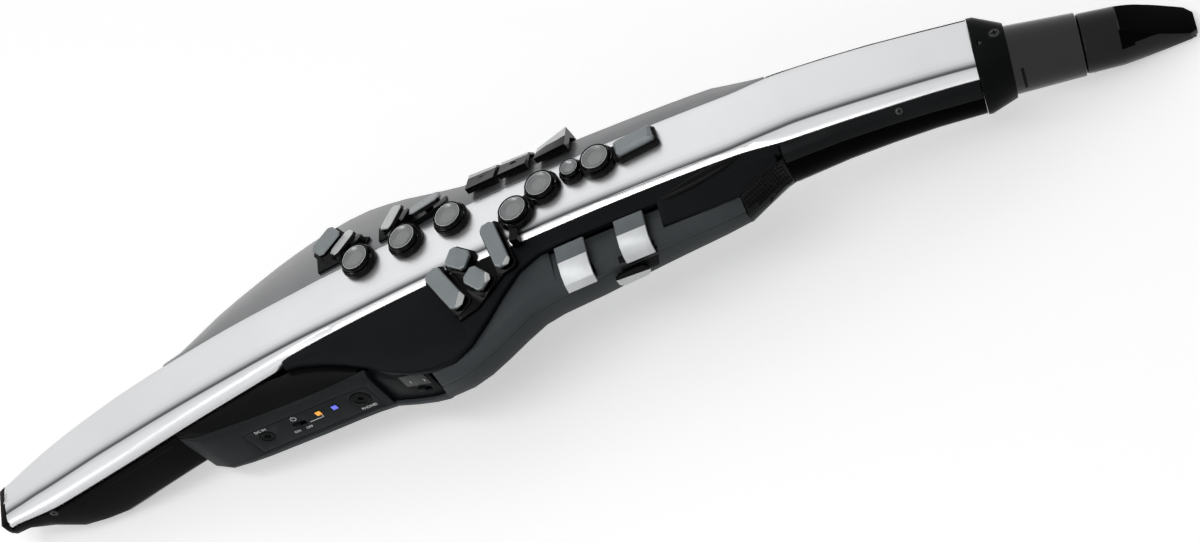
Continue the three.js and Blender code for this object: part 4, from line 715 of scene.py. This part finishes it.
def tiltTop(node, degrees, lift):
    piece = skins[node]
    top = topFacing(node)
    level = [face for face in piece.data.polygons if face.normal.dot(top) > 0.99]
    middle = max(level, key=lambda face: face.area).center.copy()
    turn = Matrix.Rotation(math.radians(degrees), 4, top.cross(Vector(farKeys["toward"])).normalized())
    place = Matrix.Translation(middle + top * lift) @ turn @ Matrix.Translation(-middle)
    # the stem stays upright, so that it still runs in its hole
    foot = min(vertex.co.z for vertex in piece.data.vertices)
    feet = [vertex.co.xy for vertex in piece.data.vertices if vertex.co.z < foot + farKeys["footDepth"]]
    axis = sum(feet, Vector((0, 0))) / len(feet)
    stem = max((spot - axis).length for spot in feet) + farKeys["stemRoom"]
    for vertex in piece.data.vertices:
        depth = (middle - vertex.co).dot(top)
        onStem = depth > farKeys["skinDepth"] and (vertex.co.xy - axis).length < stem
        if depth < farKeys["capDepth"] and not onStem:
            vertex.co = place @ vertex.co


# new edges all round a piece, where a plane crosses it
def scoreAcross(piece, axis, place):
    pickOnly(piece)
    editMode()
    bpy.ops.mesh.select_all(action="SELECT")
    bpy.ops.mesh.bisect(plane_co=axis * place, plane_no=axis)
    editMode(False)


def splitTop(node, share, lower):
    piece = skins[node]
    top = topFacing(node)
    faces = [face for face in piece.data.polygons if face.normal.dot(top) > 0.9]
    corners = [piece.data.vertices[index].co for face in faces for index in face.vertices]
    ahead = Vector((1, 0, 0)) - top * top.x
    side = top.cross(ahead.normalized())
    side = side if side.y < 0 else -side
    reach = sorted(corner.dot(side) for corner in corners)
    place = reach[0] + (reach[-1] - reach[0]) * share
    scoreAcross(piece, side, place)
    addFinish(piece, lower, lambda face: face.center.dot(side) > place or face.normal.dot(top) < 0.3)
    sharpen(piece)


def splitBelow(node, axis, share, upper):
    piece = skins[node]
    axis = Vector(axis).normalized()
    reach = sorted(vertex.co.dot(axis) for vertex in piece.data.vertices)
    place = reach[0] + (reach[-1] - reach[0]) * share
    scoreAcross(piece, axis, place)
    addFinish(piece, upper, lambda face: face.center.dot(axis) > place)
    sharpen(piece)


splitBelow("palm_key_3", (0.1, 0.55, 0.83), 0.45, finishes["rim_black"])
for node, degrees, lift, material in farKeys["lower"]:
    if degrees:
        tiltTop(node, degrees, lift)
        sharpen(skins[node])
    top = topFacing(node)
    skins[node].data.materials[0] = finishes[material]
    addFinish(skins[node], finishes["rim_black"], lambda face: face.normal.dot(top) < 0.25)
# the far upper keys' tops get the lighter copy of key gray: painted light
for node in farKeys["upper"]:
    skins[node].data.materials[0] = finishes["key_light"]
    splitTop(node, farKeys["split"], finishes["rim_black"])
print("plate keys made")


# connector plate: sockets, lamps, power mark and generic print, in the frame of the power slider
connector = {
    "origin": (-0.14967, -0.04315, 0.03958), "print": 0.00005,
    "phones": (0.031, 0.0), "phonesRadius": 0.0054, "dc": (-0.029, 0.0), "dcRadius": 0.004,
    "lenses": [("amber_lens", (0.0055, 0.0022)), ("blue_lens", (0.0154, 0.0016))],
    "words": [("DC IN", (-0.0330, 0.0052), 0.0026), ("ON", (-0.0150, -0.0058), 0.0024),
              ("OFF", (-0.0075, -0.0058), 0.0024), ("PHONES", (0.0262, -0.0088), 0.0026)],
    "mark": (-0.0086, 0.0052), "markRadius": 0.0017, "reach": 0.01,
    "bracketStart": (-0.0022, -0.0016), "bracket": [(0, 0), (0.0084, 0), (0.0084, 0.0018)], "line": 0.0005,
}
# sizes as shares of the radius or the side
powerMark = {"hole": 0.74, "gap": (0.8, 1.4), "bar": (0.26, 1.1), "barUp": 0.75, "sides": 36}
sockets = {
    "bezel": [(0.98, -0.0012), (1, 0.0001), (0.97, 0.0005), (0.86, 0.00065), (0.78, 0.0004), (0.66, -0.0008),
              (0.3, -0.0009)],
    "bore": [(0.44, -0.001), (0.44, -0.00084), (0.2, -0.00086)],
    "nut": [(0.6, -0.001), (0.6, -0.0005), (0.5, -0.0002), (0.4, -0.0004), (0.36, -0.0009)],
    "throat": [(0.36, -0.002), (0.36, 0.002)], "throatSides": 24,
    "dcRing": [(0.98, -0.0012), (1, 0.0001), (0.94, 0.0003), (0.84, 0.0001), (0.78, -0.0010)],
    "dcPin": [(0.0009, -0.0011), (0.0007, 0.0), (0.0003, 0.0002)],
}
lenses = {"size": 0.0032, "wall": 0.0006, "up": 0.0001, "edge": 0.0002,
          "frame": 1.35, "frameWall": 0.0003, "frameEdge": 0.0001}


def slideFrame(joint, origin):
    along = Vector(joint["axis"]).normalized()
    front = Vector((-along.z, 0, along.x)).normalized()
    return facing(origin, along.cross(front), along)


def inFrame(start, x, y, z=0.0):
    return start @ Matrix.Translation((x, y, z))


def onSurface(node, place):
    out = place.to_3x3() @ Vector((0, 0, 1))
    bpy.context.view_layer.update()
    found, spot, normal, index = skins[node].ray_cast(place.translation + out * connector["reach"], -out)
    return facing(spot, normal, place.to_3x3() @ Vector((1, 0, 0))) if found else place


def printWords(name, words, size, place, thickness=0.00004):
    deselectAll()
    bpy.ops.object.text_add()
    text = bpy.context.object
    text.data.body = words
    text.data.size = size
    text.data.extrude = thickness
    text.data.offset = size * 0.02
    text.data.resolution_u = 3
    bpy.ops.object.convert(target="MESH")
    return settle(named(name), "body", finishes["label_print"], place)


def joinPieces(pieces, name):
    pickOnly(pieces[0])
    for piece in pieces[1:]:
        piece.select_set(True)
    bpy.ops.object.join()
    return named(name)


def makeLine(name, points, width, place):
    bars = []
    for (x, y), (nextX, nextY) in zip(points, points[1:]):
        size = (abs(nextX - x) + width, abs(nextY - y) + width, 2 * connector["print"])
        bars.append(makeBox(name, size, ((x + nextX) / 2, (y + nextY) / 2, 0)))
    return settle(joinPieces(bars, name), "body", finishes["label_print"], place)


def makePowerMark(radius, place):
    thick = 2 * connector["print"]
    inner = radius * powerMark["hole"]
    ring = turnUp("power-ring", [(radius, 0), (radius, thick)], powerMark["sides"])
    hole = turnUp("power-hole", [(inner, -radius), (inner, radius)], powerMark["sides"])
    cutWith(ring, hole)
    width, height = powerMark["gap"]
    cutWith(ring, makeBox("power-gap", (radius * width, radius * height, radius), (0, radius, 0)))
    width, height = powerMark["bar"]
    bar = makeBox("power-bar", (radius * width, radius * height, thick),
                  (0, radius * powerMark["barUp"], connector["print"]))
    mark = joinPieces([ring, bar], "power-mark")
    return settle(mark, "body", finishes["label_print"], place)


def makeSocket(name, radius, place):
    bezel = turnUp(f"{name}-bezel", sized(sockets["bezel"], radius))
    settle(bezel, "body", finishes["rim_black"], place)
    # the bore's floor gets near black: painted shade
    bore = turnUp(f"{name}-bore", sized(sockets["bore"], radius))
    settle(bore, "body", finishes["black_and_painted_shade"], place)
    nut = turnUp(f"{name}-nut", sized(sockets["nut"], radius), 6)
    cutWith(nut, turnUp(f"{name}-throat", sized(sockets["throat"], radius), sockets["throatSides"]))
    settle(nut, "body", finishes["ring_metal"], place)


def makeLens(name, place):
    size = lenses["size"]
    outer = size * lenses["frame"]
    bezel = makeBox(f"{name}-frame", (outer, outer, lenses["frameWall"]), edge=lenses["frameEdge"])
    settle(bezel, "body", finishes["black_and_painted_shade"], place)
    lens = makeBox(name, (size, size, lenses["wall"]), (0, 0, lenses["up"]), lenses["edge"])
    settle(lens, "body", finishes[name.replace("-", "_")], place)


plateFrame = slideFrame(joints["power_slider"], connector["origin"])
plateOut = plateFrame.to_3x3() @ Vector((0, 0, 1))
addFinish(skins["jack_plate"], finishes["black_and_painted_shade"], lambda face: face.normal.dot(plateOut) < 0.93)
makeSocket("phones-socket", connector["phonesRadius"], inFrame(plateFrame, *connector["phones"]))
dcRing = turnUp("dc-socket-ring", sized(sockets["dcRing"], connector["dcRadius"]) + sockets["dcPin"])
settle(dcRing, "body", finishes["black_and_painted_shade"], inFrame(plateFrame, *connector["dc"]))
for name, spot in connector["lenses"]:
    makeLens(name.replace("_", "-"), onSurface("jack_plate", inFrame(plateFrame, *spot)))
for words, spot, size in connector["words"]:
    place = inFrame(onSurface("jack_plate", inFrame(plateFrame, *spot)), 0, 0, connector["print"])
    printWords(f"print-{words.lower().replace(' ', '-')}", words, size, place)
makePowerMark(connector["markRadius"], onSurface("jack_plate", inFrame(plateFrame, *connector["mark"])))
bracketPlace = onSurface("jack_plate", inFrame(plateFrame, *connector["bracketStart"]))
bracketPlace = inFrame(bracketPlace, 0, 0, connector["print"])
makeLine("power-bracket", connector["bracket"], connector["line"], bracketPlace)
print("connector plate dressed")


# label plate by the small slider
label = {"size": (0.0150, 0.0095, 0.0002), "shift": (-0.001, 0.0085), "marks": [("1", -0.005), ("2", 0.0035)],
         "markSize": 0.0026, "markDrop": 0.002, "knobDepth": 0.0015, "edge": 0.00008}
low, high = (Vector(corner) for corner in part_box("mode_slider"))
nicheFrame = slideFrame(joints["mode_slider"], (low + high) / 2)
nicheFrame = inFrame(nicheFrame, label["knobDepth"], 0, label["knobDepth"])
plate = makeBox("mode-label", label["size"], (*label["shift"], 0), label["edge"])
settle(plate, "body", finishes["label_plate"], nicheFrame)
for words, x in label["marks"]:
    printWords(f"print-{words}", words, label["markSize"],
               inFrame(nicheFrame, x, label["shift"][1] - label["markDrop"], label["size"][2] / 2))
print("label plate made")


# screws with a cross in their heads, each on a dark disc: painted shade in its recess
screws = {
    "heads": [("tail-screw", (-0.31319, -0.01934, 0.02626), (-0.184, -0.982, -0.048), 0.0021),
              ("neck-screw", (0.19904, -0.02411, 0.05488), (0.152, -0.708, 0.689), 0.0019),
              ("collar-screw", (0.2552, 0.0029, 0.05092), (0.168, 0.032, 0.985), 0.0027)],
    "seat": [(1.32, -0.0006), (1.32, 0.00004), (1.2, 0.0001), (0.5, 0.00004)],
    "head": [(0.98, -0.0005), (1, 0.0002), (0.9, 0.00035), (0.5, 0.00045), (0.1, 0.00048)],
    "cross": (1.3, 0.34, 0.001),
}


def makeScrew(name, spot, out, radius):
    place = facing(spot, out)
    # the seat is a flat dark disc round the head: painted shade
    seat = turnUp(f"{name}-seat", sized(screws["seat"], radius))
    settle(seat, "body", finishes["black_and_painted_shade"], place)
    head = turnUp(f"{name}-head", sized(screws["head"], radius))
    reach, width, depth = screws["cross"]
    for x, y in ((reach, width), (width, reach)):
        cutWith(head, makeBox("cross", (radius * x, radius * y, depth), (0, 0, depth / 2)))
    settle(head, "body", finishes["screw_steel"], place)


for head in screws["heads"]:
    makeScrew(*head)
print("screws made")


# lens-shaped ridge on the side trim
ridge = {"from": (0.0706, -0.0280, 0.0692), "to": (0.1168, -0.0209, 0.0685), "out": (0.06, -0.27, 0.96),
         "halfWidth": 0.0034, "height": 0.0020,
         "profile": [(1, -1), (1, 0), (0.92, 0.35), (0.75, 0.7), (0.5, 0.92), (0.05, 1)]}
ridgeFrom = Vector(ridge["from"])
ridgeTo = Vector(ridge["to"])
ridgeAlong = ridgeTo - ridgeFrom
ridgePiece = turnUp("trim-ridge", ridge["profile"])
ridgePiece.scale = (ridgeAlong.length / 2, ridge["halfWidth"], ridge["height"])
settle(ridgePiece, "body", finishes["rim_black"])
ridgePiece.data.transform(facing((ridgeFrom + ridgeTo) / 2, ridge["out"], ridgeAlong))


# perforated field of the speaker grille, laid on its shell
grille = {
    "corners": [(0.1087, -0.0393, 0.0603), (0.1368, -0.0281, 0.0621), (0.1114, -0.0415, 0.0443),
                (0.1367, -0.0274, 0.0427)],
    "columns": 17, "rows": 7, "lift": 0.0005, "wall": 0.0010, "bar": 0.00032, "hole": 0.00042,
}


def laySheet(name, corners, columns, rows, target, lift, wall):
    deselectAll()
    bpy.ops.mesh.primitive_grid_add(x_subdivisions=columns, y_subdivisions=rows, size=1)
    piece = named(name)
    topLeft, topRight, lowLeft, lowRight = (Vector(corner) for corner in corners)
    for vertex in piece.data.vertices:
        u, v = vertex.co.x + 0.5, vertex.co.y + 0.5
        vertex.co = lowLeft.lerp(lowRight, u).lerp(topLeft.lerp(topRight, u), v)
    addModifier(piece, "SHRINKWRAP", target=nodes[target], wrap_method="NEAREST_SURFACEPOINT",
                wrap_mode="OUTSIDE_SURFACE", offset=lift)
    addModifier(piece, "SOLIDIFY", thickness=wall, offset=-1)
    return piece


def makeGrilleField():
    piece = laySheet("grille-field", grille["corners"], grille["columns"], grille["rows"], "speaker_grille",
                     grille["lift"], grille["wall"])
    topLeft, topRight, lowLeft, lowRight = (Vector(corner) for corner in grille["corners"])
    out = (topRight - topLeft).cross(topLeft - lowLeft).normalized()
    out = out if out.y < 0 else -out
    selectFaces(piece, lambda face: face.normal.dot(out) > 0.8)
    bpy.ops.mesh.inset(thickness=grille["bar"], use_individual=True)
    bpy.ops.transform.shrink_fatten(value=-grille["hole"])
    editMode(False)
    floors = {face.index for face in piece.data.polygons if face.select}
    settle(piece, "body", finishes["grille_black"], angle=20)
    # the floors of the holes get near black: painted shade
    addFinish(piece, finishes["black_and_painted_shade"], lambda face: face.index in floors)


# dark sheets: painted shade in the slot in the side of the tube and in the wells beside the palm keys, and
# the dark parting line of the tail
partingLineAndPaintedShade = [
    {"name": "tube-slot", "target": "neck_tube", "columns": 2, "rows": 12, "lift": 0.0001, "wall": 0.0003,
     "corners": [(0.2610, -0.0155, 0.0387), (0.2626, -0.0155, 0.0387), (0.2581, -0.0173, 0.0264),
                 (0.2597, -0.0173, 0.0264)]},
    {"name": "tail-line", "target": "tail_shell", "columns": 24, "rows": 1, "lift": 0.00006, "wall": 0.0002,
     "corners": [(-0.2776, -0.0225, 0.0323), (-0.2309, -0.0236, 0.0418), (-0.2776, -0.0225, 0.0319),
                 (-0.2309, -0.0236, 0.0414)]},
    {"name": "palm-well-upper", "target": "wing_housing", "columns": 8, "rows": 4,
     "lift": 0.00015, "wall": 0.0004,
     "corners": [(0.0400, -0.0448, 0.0613), (0.0609, -0.0456, 0.0584), (0.0385, -0.0480, 0.0545),
                 (0.0590, -0.0475, 0.0530)]},
    {"name": "palm-well-lower", "target": "rear_cover", "columns": 8, "rows": 4,
     "lift": 0.00015, "wall": 0.0004,
     "corners": [(0.0385, -0.0480, 0.0545), (0.0590, -0.0475, 0.0530), (0.0365, -0.0481, 0.0475),
                 (0.0556, -0.0462, 0.0455)]},
]
for line in partingLineAndPaintedShade:
    settle(laySheet(**line), "body", finishes["black_and_painted_shade"])


makeGrilleField()
print("ridge and grille made")


# mouthpiece: a barrel with a rounded shoulder, a hollowed beak, a flat table and a slot for the air
mouthpiece = {
    "droop": 0.2754, "axisDepth": 0.0155, "start": 0.0537, "length": 0.0584,
    "rings": [(0, 0.0148), (0.0007, 0.0154), (0.0035, 0.0155), (0.019, 0.0149), (0.026, 0.0134),
              (0.034, 0.0118), (0.046, 0.0101), (0.0574, 0.0089), (0.0584, 0.0084)],
    "height": 0.0155, "tableLead": 0.0035, "tableRise": 0.010, "reed": 0.0011,
    "beakStart": 0.0188, "beakStep": 0.0021, "beakEnd": -0.0016, "cornerCut": 0.0030,
    "cutter": (0.08, 0.06, 0.03), "cutterRound": 0.0012, "slot": (0.042, 0.011, 0.0024), "slotFromTip": 0.023,
    "edge": 0.0006, "merge": 0.00003, "sides": 64, "cornerOut": (0.62, 0.78), "beakFacing": 0.3,
    "beakMargin": 0.001,
}


def makeMouthpiece():
    rings = mouthpiece["rings"]
    length = mouthpiece["length"]
    deselectAll()
    bpy.ops.mesh.primitive_circle_add(vertices=mouthpiece["sides"], radius=rings[0][1], fill_type="NGON")
    piece = named("mouthpiece-body")
    editMode()
    bpy.ops.mesh.select_mode(type="FACE")
    bpy.ops.mesh.select_all(action="SELECT")
    for (start, width), (end, nextWidth) in zip(rings, rings[1:]):
        bpy.ops.mesh.extrude_region_move(TRANSFORM_OT_translate={"value": (0, 0, end - start)})
        grow = mouthpiece["height"] / rings[0][1] if start == 0 else 1
        bpy.ops.transform.resize(value=(grow, nextWidth / width, 1), center_override=(0, 0, end))
    bpy.ops.mesh.select_all(action="SELECT")
    bpy.ops.mesh.normals_make_consistent(inside=False)
    editMode(False)
    # lay it along x, with its section's height up
    piece.data.transform(Matrix(((0, 0, 1, 0), (0, 1, 0, 0), (-1, 0, 0, 0), (0, 0, 0, 1))))
    tableStart = Vector((mouthpiece["tableLead"], 0, -mouthpiece["height"] + mouthpiece["reed"]))
    tilt = math.atan(mouthpiece["tableRise"] / (length - mouthpiece["tableLead"]))
    sliceOff(piece, tableStart, (math.sin(tilt), 0, -math.cos(tilt)))
    drop = mouthpiece["height"] - mouthpiece["beakStep"] - mouthpiece["beakEnd"]
    beakTilt = math.atan(drop / (length - mouthpiece["beakStart"]))
    size = mouthpiece["cutter"]
    tool = makeBox("beak-tool", size, (size[0] / 2, 0, size[2] / 2), mouthpiece["cutterRound"], 3)
    beakCorner = (mouthpiece["beakStart"], 0, mouthpiece["height"] - mouthpiece["beakStep"])
    tool.data.transform(Matrix.Translation(beakCorner) @ Matrix.Rotation(beakTilt, 4, "Y"))
    cutWith(piece, tool)
    ahead, aside = mouthpiece["cornerOut"]
    for side in (-1, 1):
        spot = (length - mouthpiece["cornerCut"], side * rings[-1][1], 0)
        sliceOff(piece, spot, (ahead, side * aside, 0))
    slot = makeBox("air-slot", mouthpiece["slot"], (length - mouthpiece["slotFromTip"], 0, 0))
    slot.data.transform(Matrix.Translation(tableStart) @ Matrix.Rotation(-tilt, 4, "Y"))
    cutWith(piece, slot)
    pickOnly(piece)
    editMode()
    bpy.ops.mesh.select_all(action="SELECT")
    bpy.ops.mesh.remove_doubles(threshold=mouthpiece["merge"])
    bpy.ops.mesh.normals_make_consistent(inside=False)
    editMode(False)
    roundEdges(piece, mouthpiece["edge"], 3, 24)
    place = (Matrix.Translation(archPoint(arch["length"], 0, mouthpiece["axisDepth"]))
             @ Matrix.Rotation(mouthpiece["droop"], 4, "Y") @ Matrix.Translation((mouthpiece["start"], 0, 0)))
    # the beak's upward faces get a darker copy of the mouthpiece black: painted shade
    shoulder = mouthpiece["beakStart"] + mouthpiece["beakMargin"]
    beak = {face.index for face in piece.data.polygons
            if face.center.x > shoulder and face.normal.z > mouthpiece["beakFacing"]}
    settle(piece, bodyOf["mouthpiece"], finishes["mouth_black"], place, angle=35)
    addFinish(piece, finishes["beak_black_painted_shade"], lambda face: face.index in beak)
    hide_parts("mouthpiece")


makeMouthpiece()
print("mouthpiece made")


# floor, lamps and world
studio = {
    "floor": {"size": 12, "albedo": 0.82, "lift": 0.5},
    "world": {"strength": 1.04, "across": [(-0.15, 0.14), (0.58, 1.0)],
              "along": [(-0.80, 0.35), (-0.38, 1.0), (0.0, 0.95), (0.60, 0.12)]},
    "lamps": [
        {"name": "far-sheet", "spot": (-0.6, 1.6, 1.6), "size": (1.6, 1.0), "power": 1.6},
        {"name": "lip-strip", "spot": (-0.5, -0.60, 1.9), "size": (2.4, 0.35), "power": 13},
        {"name": "left-sheet", "spot": (-1.9, -0.5, 1.0), "size": (0.8, 0.8), "power": 4},
        {"name": "near-sheet", "spot": (-0.3, -1.8, 1.2), "size": (1.2, 0.6), "power": 3.5},
    ],
}


# the camera, metal and glass all see the white background
def backgroundRay(made, links):
    path = made.new("ShaderNodeLightPath")
    seen = path.outputs["Is Camera Ray"]
    for name in ("Is Glossy Ray", "Is Transmission Ray"):
        larger = made.new("ShaderNodeMath")
        larger.operation = "MAXIMUM"
        links.new(seen, larger.inputs[0])
        links.new(path.outputs[name], larger.inputs[1])
        seen = larger.outputs[0]
    return seen


def makeFloor(look):
    deselectAll()
    bpy.ops.mesh.primitive_plane_add(size=look["size"])
    floor = named("floor")
    material, made, links, shader = blankMaterial("floor_paper")
    grain = scaledNoise(made, links, (1, 1, 1), 400)
    paper = ramp(made, links, grain, grey(look["albedo"] * 0.985), grey(look["albedo"]))
    links.new(paper, shader.inputs["Base Color"])
    shader.inputs["Roughness"].default_value = 0.9
    shader.inputs["Specular IOR Level"].default_value = 0.0
    lift = made.new("ShaderNodeMath")
    lift.operation = "MULTIPLY"
    lift.inputs[1].default_value = look["lift"]
    links.new(backgroundRay(made, links), lift.inputs[0])
    shader.inputs["Emission Color"].default_value = (1, 1, 1, 1)
    links.new(lift.outputs[0], shader.inputs["Emission Strength"])
    floor.data.materials.append(material)
    floor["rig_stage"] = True


def toneCurve(made, links, source, steps):
    node = made.new("ShaderNodeValToRGB")
    while len(node.color_ramp.elements) < len(steps):
        node.color_ramp.elements.new(0.5)
    for element, (place, tone) in zip(node.color_ramp.elements, steps):
        element.position = (place + 1) / 2
        element.color = (tone, tone, tone, 1)
    halved = made.new("ShaderNodeMapRange")
    halved.inputs["From Min"].default_value = -1
    links.new(source, halved.inputs["Value"])
    links.new(halved.outputs["Result"], node.inputs["Fac"])
    return node.outputs["Color"]


def makeWorld(look):
    world = bpy.data.worlds.new("studio")
    world.use_nodes = True
    scene.world = world
    made = world.node_tree.nodes
    links = world.node_tree.links
    sky = made["Background"]
    spot = made.new("ShaderNodeTexCoord")
    parts = made.new("ShaderNodeSeparateXYZ")
    links.new(spot.outputs["Generated"], parts.inputs[0])
    shape = made.new("ShaderNodeMath")
    shape.operation = "MULTIPLY"
    links.new(toneCurve(made, links, parts.outputs["X"], look["along"]), shape.inputs[0])
    links.new(toneCurve(made, links, parts.outputs["Y"], look["across"]), shape.inputs[1])
    scaled = made.new("ShaderNodeMath")
    scaled.operation = "MULTIPLY"
    scaled.inputs[1].default_value = look["strength"]
    links.new(shape.outputs[0], scaled.inputs[0])
    mix = made.new("ShaderNodeMix")
    mix.data_type = "FLOAT"
    mix.inputs["B"].default_value = 1
    links.new(backgroundRay(made, links), mix.inputs["Factor"])
    links.new(scaled.outputs[0], mix.inputs["A"])
    links.new(mix.outputs["Result"], sky.inputs["Strength"])
    sky.inputs["Color"].default_value = (1, 1, 1, 1)


def makeLamp(look):
    bpy.ops.object.light_add(type="AREA", location=look["spot"])
    lamp = bpy.context.object
    lamp.name = look["name"]
    lamp.data.shape = "RECTANGLE"
    lamp.data.size, lamp.data.size_y = look["size"]
    lamp.data.energy = look["power"]
    lamp.rotation_euler = (-Vector(look["spot"])).to_track_quat("-Z", "Y").to_euler()


makeFloor(studio["floor"])
makeWorld(studio["world"])
for look in studio["lamps"]:
    makeLamp(look)
scene.view_settings.view_transform = "Standard"
print("studio set")

low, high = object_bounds()
